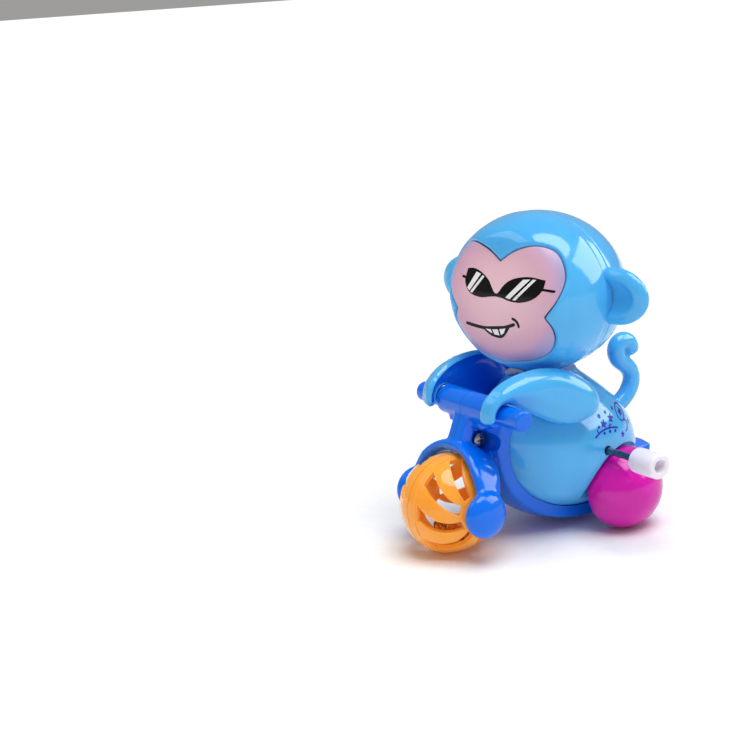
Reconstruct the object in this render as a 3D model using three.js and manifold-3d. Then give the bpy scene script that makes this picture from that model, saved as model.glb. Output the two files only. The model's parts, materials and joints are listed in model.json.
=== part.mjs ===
// A wind-up toy: a monkey that rides a tricycle. A spring motor in the belly turns the two
// rear wheels, the front wheel is a slotted ball with small bells in it, and the head turns.
// Millimetres, +Z up. The monkey faces -Y, and +X is the monkey's left, where the key is.
import * as THREE from 'three';
import { mergeVertices } from 'three/addons/utils/BufferGeometryUtils.js';
import Module from 'manifold-3d';

const wasm = await Module();
wasm.setup();

// ---------------------------------------------------------------- driving dimensions
const slip = 0.3;            // clearance between pieces that touch
const seam = 0.3;            // slit between two moulded halves
const overcut = 40;          // how far a cutting solid runs past the piece it cuts

const ball = { radius: 14.3, wall: 1.4, y: -25.2, slots: 8, slotWide: 4.9, slotNarrow: 2.8,
  slotStart: 3.6, slotStop: 1.1, slotTwist: -30, slotPhase: 4, band: 2.9, bandRise: 0.25,
  pinRadius: 1.2, pinReach: 2.4 };
const bell = { radius: 2.4, pitch: 5.2, clear: 0.9 };

const wheel = { radius: 12.3, y: 24.6, inner: 14.8, width: 14.4, faceRadius: 9.4, rim: 3.4 };
const axle = { radius: 1, end: 26 };

const head = { y: 10.2, z: 71.5, halfX: 26.2, halfY: 25.6, halfZ: 23.6, wall: 1.8,
  flat: 18.3, flatLean: 0.2, flatFrom: 2, flatSharp: 10, seamY: 1.5, turn: 12.9 };
const face = { recess: 1.5, thick: 0.7, proud: -0.5 };
const ear = { out: 0.3, z: 0.3, halfX: 11.6, halfY: 3.5, halfZ: 8.3, rim: 3.0, tabThick: 1.6,
  tabHigh: 5, tabDeep: 3.2 };
const neck = { radius: 5.1, bore: 3, flange: 7, flangeThick: 1.3 };

const body = { z: 24, radius: 25.6, widthRatio: 0.81, below: 19.2, above: 23.7, neckRadius: 11.2,
  y: 14.5, lean: -0.19, wall: 1.5, swell: 2.5, taper: 1.4 };
const tail = { radius: 2.7, tip: 2.8, plug: 3.4 };
const arch = { clear: 1.1, gap: 0.9 };

const bar = { y: -15.3, z: 41.65, thick: 4.3, thickEnd: 12.5, thin: 3.05, end: 24.9 };
const arm = { inner: 12.8, thick: 6.2, toeIn: 0.13, swell: 0.016, wall: 1.1, plate: 1.6,
  plateSet: 0.9, round: 1.5, finger: 1.75, tipDrop: 0.15 };

const frame = { stemHalf: 3.3, stemDeep: 3.4, webHalf: 1.2, cradleHalf: 9, cradleWall: 3.4,
  cradleTop: 37.4, tongueTop: 19.4, tongueWall: 5.4, tongueFront: 35, bodyGap: 0.3, ballGap: 1.1,
  forkThick: 3.6, forkHalf: 4.6, forkBack: 0.9, forkTilt: 17.8 };
const bulb = { x: 17.5, y: -24.9, z: 14.9, halfX: 3.3, halfY: 6.9, halfZ: 6.8 };
const screw = { radius: 1.1, head: 2.4, headThick: 1.6, reach: 3.4 };

const key = { y: 17.5, z: 25.4, shaft: 1, knobRadius: 3.7, knobStart: 33.1, knobLong: 9.7,
  socket: 1.9, socketDeep: 3.6, inset: 5 };
const gear = { module: 0.5, backlash: 0.14, mainTeeth: 36, idlerTeeth: 28, pinionTeeth: 10,
  mainThick: 1.6, pinionThick: 2.6, ratchetTeeth: 12, ratchetRadius: 3.7 };
const plate = { outer: 8.2, thick: 1.2, corner: 3.0 };
const pillarRadius = 1.5;
const spring = { inner: 2.0, outer: 9.3, turns: 4.5, thick: 0.35, start: -6.3, wide: 4.0 };

// ---------------------------------------------------------------- derived sizes
const seamHalf = seam / 2;
const ballZ = ball.radius + ball.bandRise;
const bodyTop = body.z + body.above;
const keyRun = plate.outer - plate.thick;
const earX = head.halfX + ear.out;
const gearReach = (a, b) => gear.module * (a + b) / 2;

// ---------------------------------------------------------------- colours
const finish = {
  sky: { color: 0x4fb2f2, roughness: 0.16 },
  royal: { color: 0x0a5fe0, roughness: 0.18 },
  pink: { color: 0xe2aebf, roughness: 0.3 },
  orange: { color: 0xff9a2e, roughness: 0.2 },
  magenta: { color: 0xc9149c, roughness: 0.16 },
  nylon: { color: 0xe9e4ee, roughness: 0.4 },
  steel: { color: 0x6d7278, roughness: 0.3, metalness: 1 },
  brass: { color: 0xc98f3a, roughness: 0.3, metalness: 1 },
  acetal: { color: 0xf2f0e6, roughness: 0.45 },
};
const toy = new THREE.Group();
const turningHead = new THREE.Group();
turningHead.position.set(0, head.y, head.z);
turningHead.rotation.z = THREE.MathUtils.degToRad(head.turn);
toy.add(turningHead);

function addPiece(name, geometry, look, parent = toy) {
  const material = new THREE.MeshStandardMaterial(finish[look]);
  const piece = new THREE.Mesh(geometry, material);
  piece.name = name;
  parent.add(piece);
  return piece;
}

// ---------------------------------------------------------------- solids
// A closed three.js geometry as a solid for cutting and joining, always facing outwards.
function solid(geometry) {
  const bare = geometry.clone();
  bare.deleteAttribute('normal');
  bare.deleteAttribute('uv');
  const merged = mergeVertices(bare, 1e-4);
  const spots = merged.attributes.position.array;
  const corners = [];
  let volume = 0;
  for (let i = 0; i < merged.index.count; i += 3) {
    const [a, b, c] = [merged.index.getX(i), merged.index.getX(i + 1), merged.index.getX(i + 2)];
    if (a === b || b === c || c === a) continue;
    corners.push(a, b, c);
    const [p, q, r] = [a, b, c].map((n) => new THREE.Vector3().fromArray(spots, 3 * n));
    volume += p.dot(q.cross(r));
  }
  if (volume < 0) corners.reverse();
  return new wasm.Manifold(new wasm.Mesh({
    numProp: 3, vertProperties: Float32Array.from(spots), triVerts: Uint32Array.from(corners),
  }));
}

function asGeometry(body3d) {
  const mesh = body3d.getMesh();
  const geometry = new THREE.BufferGeometry();
  geometry.setAttribute('position', new THREE.BufferAttribute(mesh.vertProperties, 3));
  geometry.setIndex(new THREE.BufferAttribute(mesh.triVerts, 1));
  geometry.computeVertexNormals();
  return geometry;
}

const join = (first, ...others) => others.reduce((sum, next) => sum.add(next), first);
const cut = (first, ...others) => others.reduce((sum, next) => sum.subtract(next), first);

// The mirror image of a piece across the middle plane of the toy.
function mirrored(geometry) {
  const copy = geometry.clone();
  copy.scale(-1, 1, 1);
  copy.index.array.reverse();
  copy.computeVertexNormals();
  return copy;
}

// Points moved by a formula, for shapes that are not plain solids of revolution.
function bend(geometry, move) {
  const spots = geometry.attributes.position;
  const point = new THREE.Vector3();
  for (let i = 0; i < spots.count; i++) {
    point.fromBufferAttribute(spots, i);
    move(point);
    spots.setXYZ(i, point.x, point.y, point.z);
  }
  return geometry;
}

function block(x0, x1, y0, y1, z0, z1) {
  return solid(new THREE.BoxGeometry(x1 - x0, y1 - y0, z1 - z0)
    .translate((x0 + x1) / 2, (y0 + y1) / 2, (z0 + z1) / 2));
}

const leftOf = (x) => block(x, x + 3 * overcut, -2 * overcut, 2 * overcut, -overcut, 3 * overcut);

function rod(radius, x0, x1, y, z, sides = 16) {
  return solid(new THREE.CylinderGeometry(radius, radius, x1 - x0, sides)
    .rotateZ(Math.PI / 2).translate((x0 + x1) / 2, y, z));
}

function egg(halfX, halfY, halfZ, x, y, z, around = 32, up = 16) {
  return solid(new THREE.SphereGeometry(1, around, up).rotateX(Math.PI / 2)
    .scale(halfX, halfY, halfZ).translate(x, y, z));
}

// A shape drawn in the side view (across = Y, up = Z) and given its thickness along X.
function sideSlab(shape, x0, x1, options = {}) {
  const geometry = new THREE.ExtrudeGeometry(shape, {
    depth: x1 - x0, bevelEnabled: false, curveSegments: 2, ...options,
  });
  const toSide = new THREE.Matrix4().set(0, 0, 1, x0, 1, 0, 0, 0, 0, 1, 0, 0, 0, 0, 0, 1);
  return geometry.applyMatrix4(toSide);
}

// A profile of [radius, x] pairs spun around an axis that runs along X.
function spun(profile, y, z, sides = 32) {
  const points = profile.map(([radius, x]) => new THREE.Vector2(radius, x));
  return solid(new THREE.LatheGeometry(points, sides).rotateZ(-Math.PI / 2).translate(0, y, z));
}

// An outline drawn inwards by a distance (outwards when it is negative).
function inset(points, distance) {
  const count = points.length;
  return points.map((point, i) => {
    const before = points[(i + count - 1) % count];
    const after = points[(i + 1) % count];
    const arriving = point.clone().sub(before).normalize();
    const leaving = after.clone().sub(point).normalize();
    const inward = new THREE.Vector2(-arriving.y - leaving.y, arriving.x + leaving.x).normalize();
    const spread = Math.max(0.5, Math.sqrt((1 + arriving.dot(leaving)) / 2));
    return point.clone().addScaledVector(inward, distance / spread);
  });
}

const points2d = (pairs) => pairs.map(([a, b]) => new THREE.Vector2(a, b));
const turned = (angle) => THREE.MathUtils.degToRad(angle);

// ---------------------------------------------------------------- belly
// A pear: half an ellipsoid below, an eased taper to the neck above, leaning back.
function pear(grow, around = 24) {
  const profile = [new THREE.Vector2(0, body.z - body.below - grow)];
  for (let step = 1; step <= 7; step++) {
    const angle = (step / 7 - 1) * Math.PI / 2;
    profile.push(new THREE.Vector2((body.radius + grow) * Math.cos(angle),
      body.z + (body.below + grow) * Math.sin(angle)));
  }
  for (let step = 1; step <= 7; step++) {
    const rise = step / 7;
    const eased = (1 - rise ** body.swell) ** body.taper;
    profile.push(new THREE.Vector2(body.neckRadius + grow + (body.radius - body.neckRadius) * eased,
      body.z + (body.above + grow) * rise));
  }
  profile.push(new THREE.Vector2(0, bodyTop + grow));
  const geometry = new THREE.LatheGeometry(profile, around).rotateX(Math.PI / 2);
  return solid(bend(geometry, (p) => {
    p.x *= body.widthRatio;
    p.y += body.y + body.lean * (p.z - body.z);
  }));
}

// The room that one rear wheel needs beside the belly.
function wheelRoom(grow) {
  const start = wheel.inner - arch.gap - grow;
  return rod(wheel.radius + arch.clear + grow, start, start + overcut, wheel.y, wheel.radius, 28);
}

function tailPath() {
  const stops = [[36.2, 29.6], [39.7, 31.5], [42.9, 34.0], [44.7, 37.2], [44.6, 40.4], [42.6, 43.0],
    [40.0, 45.2], [39.0, 47.9], [39.9, 50.0], [41.9, 50.8], [43.9, 50.0], [44.7, 48.4]];
  return new THREE.CatmullRomCurve3(stops.map(([y, z]) => new THREE.Vector3(0, y, z)));
}

function buildBelly() {
  const leftWheel = wheelRoom(0);
  const rightWheel = solid(mirrored(asGeometry(leftWheel)));
  const leftInner = wheelRoom(body.wall);
  const rightInner = solid(mirrored(asGeometry(leftInner)));
  const hollow = cut(pear(-body.wall, 16), leftInner, rightInner);
  const neckHole = solid(new THREE.CylinderGeometry(neck.radius + slip, neck.radius + slip, overcut, 20)
    .rotateX(Math.PI / 2).translate(0, head.y, bodyTop));
  const root = tailPath().getPoint(0.06);
  const along = tailPath().getTangent(0.06);
  const tailHole = new THREE.CylinderGeometry(tail.radius + slip, tail.radius + slip, 12, 16);
  tailHole.applyQuaternion(new THREE.Quaternion().setFromUnitVectors(new THREE.Vector3(0, 1, 0), along));
  tailHole.translate(root.x, root.y, root.z);
  const axleHole = rod(axle.radius + 2 * slip, -overcut, overcut, wheel.y, wheel.radius);
  const keyHole = rod(key.shaft + 2 * slip, 0, overcut, key.y, key.z);
  const shell = cut(pear(0), leftWheel, rightWheel, hollow, neckHole, solid(tailHole), axleHole, keyHole);
  const left = shell.intersect(leftOf(seamHalf));
  const right = cut(shell, leftOf(-seamHalf));
  addPiece('body_shell_left', asGeometry(left), 'sky');
  addPiece('body_shell_right', asGeometry(right), 'sky');
}

function buildTail() {
  const outline = new THREE.Shape(new THREE.EllipseCurve(0, 0, tail.radius, tail.radius, 0, 2 * Math.PI)
    .getPoints(8).slice(0, 8));
  const rope = new THREE.ExtrudeGeometry(outline, { steps: 18, extrudePath: tailPath(), bevelEnabled: false });
  const end = tailPath().getPoint(1);
  const tip = egg(tail.tip, tail.tip, tail.tip, end.x, end.y, end.z, 12, 8);
  addPiece('tail', asGeometry(join(solid(rope), tip)), 'sky');
}

// ---------------------------------------------------------------- head
// An ellipsoid with its front pressed flatter, in the head's own frame.
function headSolid(grow, around = 28, up = 14) {
  const geometry = new THREE.SphereGeometry(1, around, up).rotateX(Math.PI / 2);
  return solid(bend(geometry, (p) => {
    const frontness = -p.y;
    p.x *= head.halfX + grow;
    p.y *= head.halfY + grow;
    p.z *= head.halfZ + grow;
    if (frontness > 0) {
      const flat = head.flat + grow - head.flatLean * Math.max(0, p.z - head.flatFrom);
      p.y /= (1 + (-p.y / flat) ** head.flatSharp) ** (1 / head.flatSharp);
    }
  }));
}

// The heart outline of the face: two brow lobes over one wide muzzle lobe.
function faceOutline() {
  const brow = new THREE.CatmullRomCurve3([[0, 11.6], [4.8, 14.6], [11, 16.4], [16.2, 15.1], [19.6, 11.4],
    [21.2, 6.4], [19.9, 1.2], [16.4, -3.4]].map(([x, z]) => new THREE.Vector3(x, z, 0)));
  const muzzle = new THREE.CatmullRomCurve3([[16.4, -3.4], [18.2, -6.6], [17.9, -10.4], [15, -14.5],
    [9.6, -17.2], [0, -18.5]].map(([x, z]) => new THREE.Vector3(x, z, 0)));
  const half = [...brow.getPoints(10), ...muzzle.getPoints(7).slice(1)];
  const left = half.map((p) => new THREE.Vector2(p.x, p.y)).reverse();
  const right = half.slice(1, -1).map((p) => new THREE.Vector2(-p.x, p.y));
  return [...left, ...right];
}

function facePrism(points) {
  const geometry = new THREE.ExtrudeGeometry(new THREE.Shape(points), { depth: overcut, bevelEnabled: false });
  return solid(geometry.rotateX(Math.PI / 2));
}

function buildHead() {
  const outline = faceOutline();
  const recess = cut(headSolid(1), headSolid(-face.recess)).intersect(facePrism(outline));
  const plateTop = headSolid(face.proud);
  const plateBack = headSolid(face.proud - face.thick);
  const facePlate = cut(plateTop, plateBack).intersect(facePrism(inset(outline, slip)));
  const neckHole = solid(new THREE.CylinderGeometry(neck.radius + slip, neck.radius + slip, overcut, 20)
    .rotateX(Math.PI / 2).translate(0, 0, -head.halfZ));
  const tabRoom = ear.tabThick / 2 + slip;
  const tabHalf = ear.tabHigh / 2;
  const slots = [1, -1].map((side) => block(Math.min(0, side * overcut), Math.max(0, side * overcut),
    head.seamY - tabRoom, head.seamY + tabRoom, ear.z - tabHalf - slip, ear.z + tabHalf + slip));
  const shell = cut(headSolid(0), headSolid(-head.wall, 18, 9), recess, neckHole, ...slots);
  const front = block(-overcut, overcut, -overcut, head.seamY - seamHalf, -overcut, overcut);
  const back = block(-overcut, overcut, head.seamY + seamHalf, overcut, -overcut, overcut);
  addPiece('head_front_shell', asGeometry(shell.intersect(front)), 'sky', turningHead);
  addPiece('head_back_shell', asGeometry(shell.intersect(back)), 'sky', turningHead);
  addPiece('face_plate', asGeometry(facePlate), 'pink', turningHead);

  const disc = egg(ear.halfX, ear.halfY, ear.halfZ, earX, head.seamY, ear.z, 20, 10);
  const dish = egg(ear.halfX - ear.rim, ear.halfY, ear.halfZ - ear.rim,
    earX - 0.5, head.seamY - ear.halfY, ear.z, 18, 8);
  const tab = block(head.halfX - ear.tabDeep, earX + 1, head.seamY - ear.tabThick / 2,
    head.seamY + ear.tabThick / 2, ear.z - tabHalf, ear.z + tabHalf);
  const left = asGeometry(join(cut(disc, headSolid(slip), dish), tab));
  addPiece('ear_left', left, 'sky', turningHead);
  addPiece('ear_right', mirrored(left), 'sky', turningHead);
}

// A flanged tube that hangs the head on the belly: one flange inside each of them.
function buildNeck() {
  const inHead = (radius) => head.z - (head.halfZ - head.wall)
    * Math.sqrt(1 - (radius / (head.halfX - head.wall)) ** 2);
  const top = inHead(neck.flange) + slip;
  const under = bodyTop - body.wall - slip;
  const profile = points2d([[neck.bore, under - neck.flangeThick], [neck.flange, under - neck.flangeThick],
    [neck.flange, under], [neck.radius, under], [neck.radius, top], [neck.flange, top],
    [neck.flange, top + neck.flangeThick], [neck.bore, top + neck.flangeThick],
    [neck.bore, under - neck.flangeThick]]);
  const tube = solid(new THREE.LatheGeometry(profile, 18).rotateX(Math.PI / 2).translate(0, 0, -head.z));
  addPiece('neck_spigot', asGeometry(tube), 'sky', turningHead);
}

// ---------------------------------------------------------------- arms
// The side view of an arm: a round shoulder that tapers to a hand hooked over the bar.
function armOutline() {
  const grip = bar.thin + slip;
  const tip = { y: bar.y - grip - arm.finger, z: bar.z - arm.tipDrop };
  const palm = { y: bar.y + grip * Math.cos(turned(50)), z: bar.z + grip * Math.sin(turned(50)) };
  const outside = new THREE.SplineCurve(points2d([[tip.y - arm.finger, tip.z], [tip.y - 1.5, 43.9],
    [-20.1, 47.3], [-16.2, 50.3], [-11, 52.4], [-4, 53.2], [3, 52.3], [9.2, 49.4], [13.3, 45],
    [14.2, 40.8], [12.2, 37.4], [7.5, 35.6], [2, 36], [-4, 39], [-9, 42.2],
    [palm.y + 0.847, palm.z - 0.316]]));
  const hook = new THREE.EllipseCurve(bar.y, bar.z, grip, grip, turned(50), turned(180));
  const fingertip = new THREE.EllipseCurve(tip.y, tip.z, arm.finger, arm.finger, 0, -Math.PI, true);
  return [...outside.getPoints(26), ...hook.getPoints(5), ...fingertip.getPoints(4).slice(0, -1)].reverse();
}

// Arms lean in towards the hands and get thicker towards the shoulder.
function armBend(p) {
  const back = p.y - bar.y;
  const depth = p.x - arm.inner;
  p.x = arm.inner + depth * (1 + arm.swell * back) + arm.toeIn * back;
}

function armSlab(points, x0, x1, options) {
  return solid(bend(sideSlab(new THREE.Shape(points), x0, x1, options), armBend));
}

function buildArms() {
  const outline = armOutline();
  const rounded = armSlab(outline, arm.inner, arm.inner + arm.thick - arm.round, {
    bevelEnabled: true, bevelThickness: arm.round, bevelSize: arm.round, bevelOffset: -arm.round,
    bevelSegments: 2 });
  const sliced = armSlab(inset(outline, -1), arm.inner - arm.round - 1, arm.inner);
  const pocket = armSlab(inset(outline, arm.wall), arm.inner - 1, arm.inner + arm.thick - arm.wall);
  const shell = cut(rounded, sliced, pocket, pear(slip), rod(bar.thin + slip, 0, overcut, bar.y, bar.z),
    rod(bar.thick + slip, 0, bar.thickEnd + slip, bar.y, bar.z));
  const left = asGeometry(shell);
  addPiece('arm_shell_left', left, 'sky');
  addPiece('arm_shell_right', mirrored(left), 'sky');

  const plateStart = arm.inner + arm.plateSet;
  const backing = cut(armSlab(inset(outline, arm.wall + slip), plateStart, plateStart + arm.plate), pear(slip));
  addPiece('arm_backing_left', asGeometry(backing), 'royal');
  addPiece('arm_backing_right', mirrored(asGeometry(backing)), 'royal');
}

// ---------------------------------------------------------------- tricycle frame
// Each half holds half of the bar, stem, fork and cradle.
function buildFrame() {
  const clearBall = ball.radius + frame.ballGap;
  const lowerStem = { y: ball.y + clearBall * Math.cos(turned(83)), z: ballZ + clearBall * Math.sin(turned(83)) };
  const barBits = join(rod(bar.thick, 0, bar.thickEnd, bar.y, bar.z, 20),
    rod(bar.thin, 0, bar.end, bar.y, bar.z, 16));
  const stem = solid(sideSlab(new THREE.Shape(points2d([[bar.y - 2.7, bar.z + 2],
    [lowerStem.y - 0.6, lowerStem.z], [lowerStem.y + frame.stemDeep + 0.4, lowerStem.z - 1],
    [bar.y + 1.2, bar.z]])), 0, frame.stemHalf));
  const aroundBall = new THREE.EllipseCurve(ball.y, ballZ, clearBall, clearBall, turned(83), turned(2), true);
  const web = solid(sideSlab(new THREE.Shape([...points2d([[bar.y + 3, bar.z], [bar.y - 2, bar.z]]),
    ...aroundBall.getPoints(12), ...points2d([[-5, ballZ - 1], [-4, bar.z - 6]])]), 0, frame.webHalf));
  const shelf = block(0, frame.cradleHalf - 1, bar.y - 3, bar.y + 9, bar.z - 5.2, bar.z - 3.4);
  const wrap = frame.bodyGap + frame.cradleWall;
  const cradleSide = sideSlab(new THREE.Shape(points2d([[-overcut, -overcut], [60, -overcut],
    [60, frame.tongueTop], [20, frame.tongueTop], [2, frame.cradleTop], [-overcut, frame.cradleTop]])),
    0, frame.cradleHalf);
  const cradle = pear(wrap).intersect(solid(cradleSide));
  const tongueSide = sideSlab(new THREE.Shape(points2d([[frame.tongueFront, -overcut], [60, -overcut],
    [60, frame.tongueTop], [frame.tongueFront, frame.tongueTop]])), 0, frame.cradleHalf);
  const tongue = pear(frame.bodyGap + frame.tongueWall).intersect(solid(tongueSide));
  const bandBox = new THREE.BoxGeometry(2 * overcut, 2 * frame.forkHalf, overcut)
    .translate(0, frame.forkBack, overcut / 2).rotateX(-turned(frame.forkTilt)).translate(0, ball.y, ballZ);
  const outerFork = clearBall + frame.forkThick;
  const fork = egg(outerFork, outerFork, outerFork, 0, ball.y, ballZ, 22, 12).intersect(solid(bandBox));
  const drop = egg(bulb.halfX, bulb.halfY, bulb.halfZ, bulb.x, bulb.y, bulb.z, 16, 9);
  const whole = join(barBits, stem, web, shelf, cradle, tongue, fork, drop);
  const ballRoom = egg(clearBall, clearBall, clearBall, 0, ball.y, ballZ, 22, 12);
  const pinHole = rod(ball.pinRadius + slip, 0, ball.radius + ball.pinReach + 2 * slip, ball.y, ballZ);
  const screwHoles = screwPlaces().map(({ y, z }) => rod(screw.radius + slip, 0, overcut / 3, y, z, 16));
  const seats = screwPlaces().map(({ y, z, head: start }) => (
    rod(screw.head + slip, start, start + overcut / 3, y, z, 20)));
  const rough = cut(whole, pear(frame.bodyGap), ballRoom, pinHole).intersect(leftOf(seamHalf));
  const left = cut(rough, ...screwHoles, ...seats);
  addPiece('frame_left', asGeometry(left), 'royal');
  const right = mirrored(asGeometry(cut(rough, ...screwHoles)));
  addPiece('frame_right', right, 'royal');
}

// Two screws run across the halves: one in the stem's web, one in the tongue behind the belly.
function screwPlaces() {
  return [
    { name: 'stem_screw', y: -15.2, z: 31.9, head: frame.webHalf + slip },
    { name: 'tongue_screw', y: 41.2, z: 13.6, head: frame.cradleHalf - 3 },
  ];
}

function buildScrews() {
  for (const place of screwPlaces()) {
    const profile = [[0, -screw.reach], [screw.radius, -screw.reach + 0.6], [screw.radius, place.head + slip],
      [screw.head, place.head + slip], [screw.head * 0.8, place.head + slip + screw.headThick],
      [0, place.head + slip + screw.headThick]];
    const cross = [0, 90].map((angle) => solid(new THREE.BoxGeometry(1.2, 0.7, 2.6)
      .rotateX(turned(angle)).translate(place.head + slip + screw.headThick, place.y, place.z)));
    addPiece(place.name, asGeometry(cut(spun(profile, place.y, place.z, 16), ...cross)), 'steel');
  }
}

// ---------------------------------------------------------------- slotted ball wheel
// One slot: a box bent onto the ball, its sides slanting by slotTwist from band to pole.
function slotCutter(index) {
  const box = new THREE.BoxGeometry(1, 1, 1, 3, 1, 1).translate(0.5, 0, 0.5);
  return solid(bend(box, (p) => {
    const x = ball.slotStart + (ball.radius - ball.slotStop - ball.slotStart) * p.x;
    const ring = Math.sqrt(ball.radius ** 2 - x ** 2);
    const width = ball.slotWide + (ball.slotNarrow - ball.slotWide) * p.x;
    const centre = turned(ball.slotPhase + 360 * index / ball.slots + ball.slotTwist * p.x);
    const angle = centre + p.y * width / ring;
    const reach = 0.75 + 0.4 * p.z;
    p.set(x * reach, -ring * reach * Math.cos(angle), ring * reach * Math.sin(angle));
  }));
}

function buildBall() {
  const bandOuter = ball.radius + ball.bandRise;
  const band = egg(bandOuter, bandOuter, bandOuter, 0, 0, 0, 24, 12)
    .intersect(block(0, ball.band, -overcut, overcut, -overcut, overcut));
  const outer = join(egg(ball.radius, ball.radius, ball.radius, 0, 0, 0, 24, 12), band);
  const innerRadius = ball.radius - ball.wall;
  const inner = egg(innerRadius, innerRadius, innerRadius, 0, 0, 0, 16, 8);
  const slots = Array.from({ length: ball.slots }, (_, index) => slotCutter(index));
  const shell = cut(outer, inner, ...slots).intersect(leftOf(seamHalf));
  const pin = rod(ball.pinRadius, innerRadius, ball.radius + ball.pinReach, 0, 0, 14);
  const half = asGeometry(join(shell, pin));
  addPiece('ball_half_left', half.clone().translate(0, ball.y, ballZ), 'orange');
  addPiece('ball_half_right', half.clone().rotateZ(Math.PI)
    .rotateX(turned(180 / ball.slots)).translate(0, ball.y, ballZ), 'orange');
  const drop = Math.sqrt((innerRadius - bell.radius - bell.clear) ** 2 - bell.pitch ** 2);
  for (const [index, place] of [-1, 0, 1].entries()) {
    addPiece(`bell_${index + 1}`, asGeometry(egg(bell.radius, bell.radius, bell.radius,
      place * bell.pitch, ball.y, ballZ - drop, 10, 6)), 'brass');
  }
}

// ---------------------------------------------------------------- rear wheels and axle
function buildRearWheels() {
  const outerX = wheel.inner + wheel.width;
  const rimX = wheel.inner + wheel.rim;
  const profile = [[0, wheel.inner], [wheel.faceRadius, wheel.inner]];
  for (let step = 1; step <= 2; step++) {
    const angle = (step / 2) * Math.PI / 2;
    profile.push([wheel.faceRadius + (wheel.radius - wheel.faceRadius) * Math.sin(angle),
      rimX - wheel.rim * Math.cos(angle)]);
  }
  for (let step = 1; step <= 6; step++) {
    const angle = (step / 6) * Math.PI / 2;
    profile.push([wheel.radius * Math.cos(angle), rimX + (outerX - rimX) * Math.sin(angle)]);
  }
  profile[profile.length - 1][0] = 0;
  const bore = rod(axle.radius + slip, 0, axle.end + slip, wheel.y, wheel.radius, 16);
  const left = asGeometry(cut(spun(profile, wheel.y, wheel.radius, 22), bore));
  addPiece('wheel_left', left, 'magenta');
  addPiece('wheel_right', mirrored(left), 'magenta');
  addPiece('rear_axle', asGeometry(rod(axle.radius, -axle.end, axle.end, wheel.y, wheel.radius, 16)), 'steel');
}

// ---------------------------------------------------------------- spring motor
// The idler sits where its pinion meets the main gear and its gear meets the axle pinion.
function idlerPlace() {
  const toIdler = gearReach(gear.mainTeeth, gear.pinionTeeth);
  const toAxle = gearReach(gear.idlerTeeth, gear.pinionTeeth);
  const gap = new THREE.Vector2(wheel.y - key.y, wheel.radius - key.z);
  const lean = Math.acos((toIdler ** 2 + gap.lengthSq() - toAxle ** 2) / (2 * toIdler * gap.length()));
  const angle = gap.angle() + lean;
  return { y: key.y + toIdler * Math.cos(angle), z: key.z + toIdler * Math.sin(angle) };
}

// Involute teeth on a base circle, thinned by the backlash.
function gearOutline(teeth) {
  const pitch = gear.module * teeth / 2;
  const base = pitch * Math.cos(turned(20));
  const tip = pitch + gear.module;
  const root = pitch - 1.25 * gear.module;
  const involute = (radius) => {
    const press = Math.acos(Math.min(1, base / radius));
    return Math.tan(press) - press;
  };
  const halfTooth = Math.PI / (2 * teeth) - gear.backlash / (2 * pitch) + involute(pitch);
  const points = [];
  for (let tooth = 0; tooth < teeth; tooth++) {
    const middle = 2 * Math.PI * tooth / teeth;
    const flank = base > root + 0.3 ? [root, base, pitch, tip] : [root, tip];
    const sides = flank.map((radius) => [radius, halfTooth - involute(radius)]);
    for (const [radius, half] of sides) points.push([radius, middle - half]);
    for (const [radius, half] of [...sides].reverse()) points.push([radius, middle + half]);
  }
  return points.map(([radius, angle]) => new THREE.Vector2(radius * Math.cos(angle), radius * Math.sin(angle)));
}

function gearSolid(teeth, bore, x0, x1, place, turn) {
  const blank = solid(sideSlab(new THREE.Shape(gearOutline(teeth)), x0, x1).rotateX(turn)
    .translate(0, place.y, place.z));
  return cut(blank, rod(bore, x0 - 1, x1 + 1, place.y, place.z, 10));
}

// The turn that lets a gear's tooth gap meet the tooth of the gear that drives it.
function meshTurn(driver, driverTeeth, driverTurn, driven, drivenTeeth) {
  const bearing = Math.atan2(driven.z - driver.z, driven.y - driver.y);
  return bearing + Math.PI + (Math.PI - (driverTurn - bearing) * driverTeeth) / drivenTeeth;
}

function spiralOutline() {
  const count = Math.round(spring.turns * 13);
  const start = turned(126) - 2 * Math.PI * spring.turns;
  const arm2d = (step, side) => {
    const share = step / count;
    const radius = spring.inner + (spring.outer - spring.inner) * share + side * spring.thick / 2;
    const angle = start + 2 * Math.PI * spring.turns * share;
    return new THREE.Vector2(key.y + radius * Math.cos(angle), key.z + radius * Math.sin(angle));
  };
  const outerRun = Array.from({ length: count + 1 }, (_, step) => arm2d(step, 1));
  const innerRun = Array.from({ length: count + 1 }, (_, step) => arm2d(count - step, -1));
  return [...outerRun, ...innerRun];
}

// Corners of the two motor plates, and the pillars that hold them apart.
const plateCorners = [[7.0, 34.4], [12.5, 15.2], [25.6, 13.4], [30.2, 30.2]];
const pillarCorners = [plateCorners[0], plateCorners[1], plateCorners[3]];

function plateOutline() {
  const outline = new THREE.Shape();
  plateCorners.forEach(([y, z], i) => {
    const [y0, z0] = plateCorners[(i + 3) % 4];
    const [y1, z1] = plateCorners[(i + 1) % 4];
    const from = Math.atan2(z - z0, y - y0) - Math.PI / 2;
    let to = Math.atan2(z1 - z, y1 - y) - Math.PI / 2;
    if (to < from) to += 2 * Math.PI;
    outline.absarc(y, z, plate.corner, from, to, false);
  });
  return outline;
}

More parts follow.
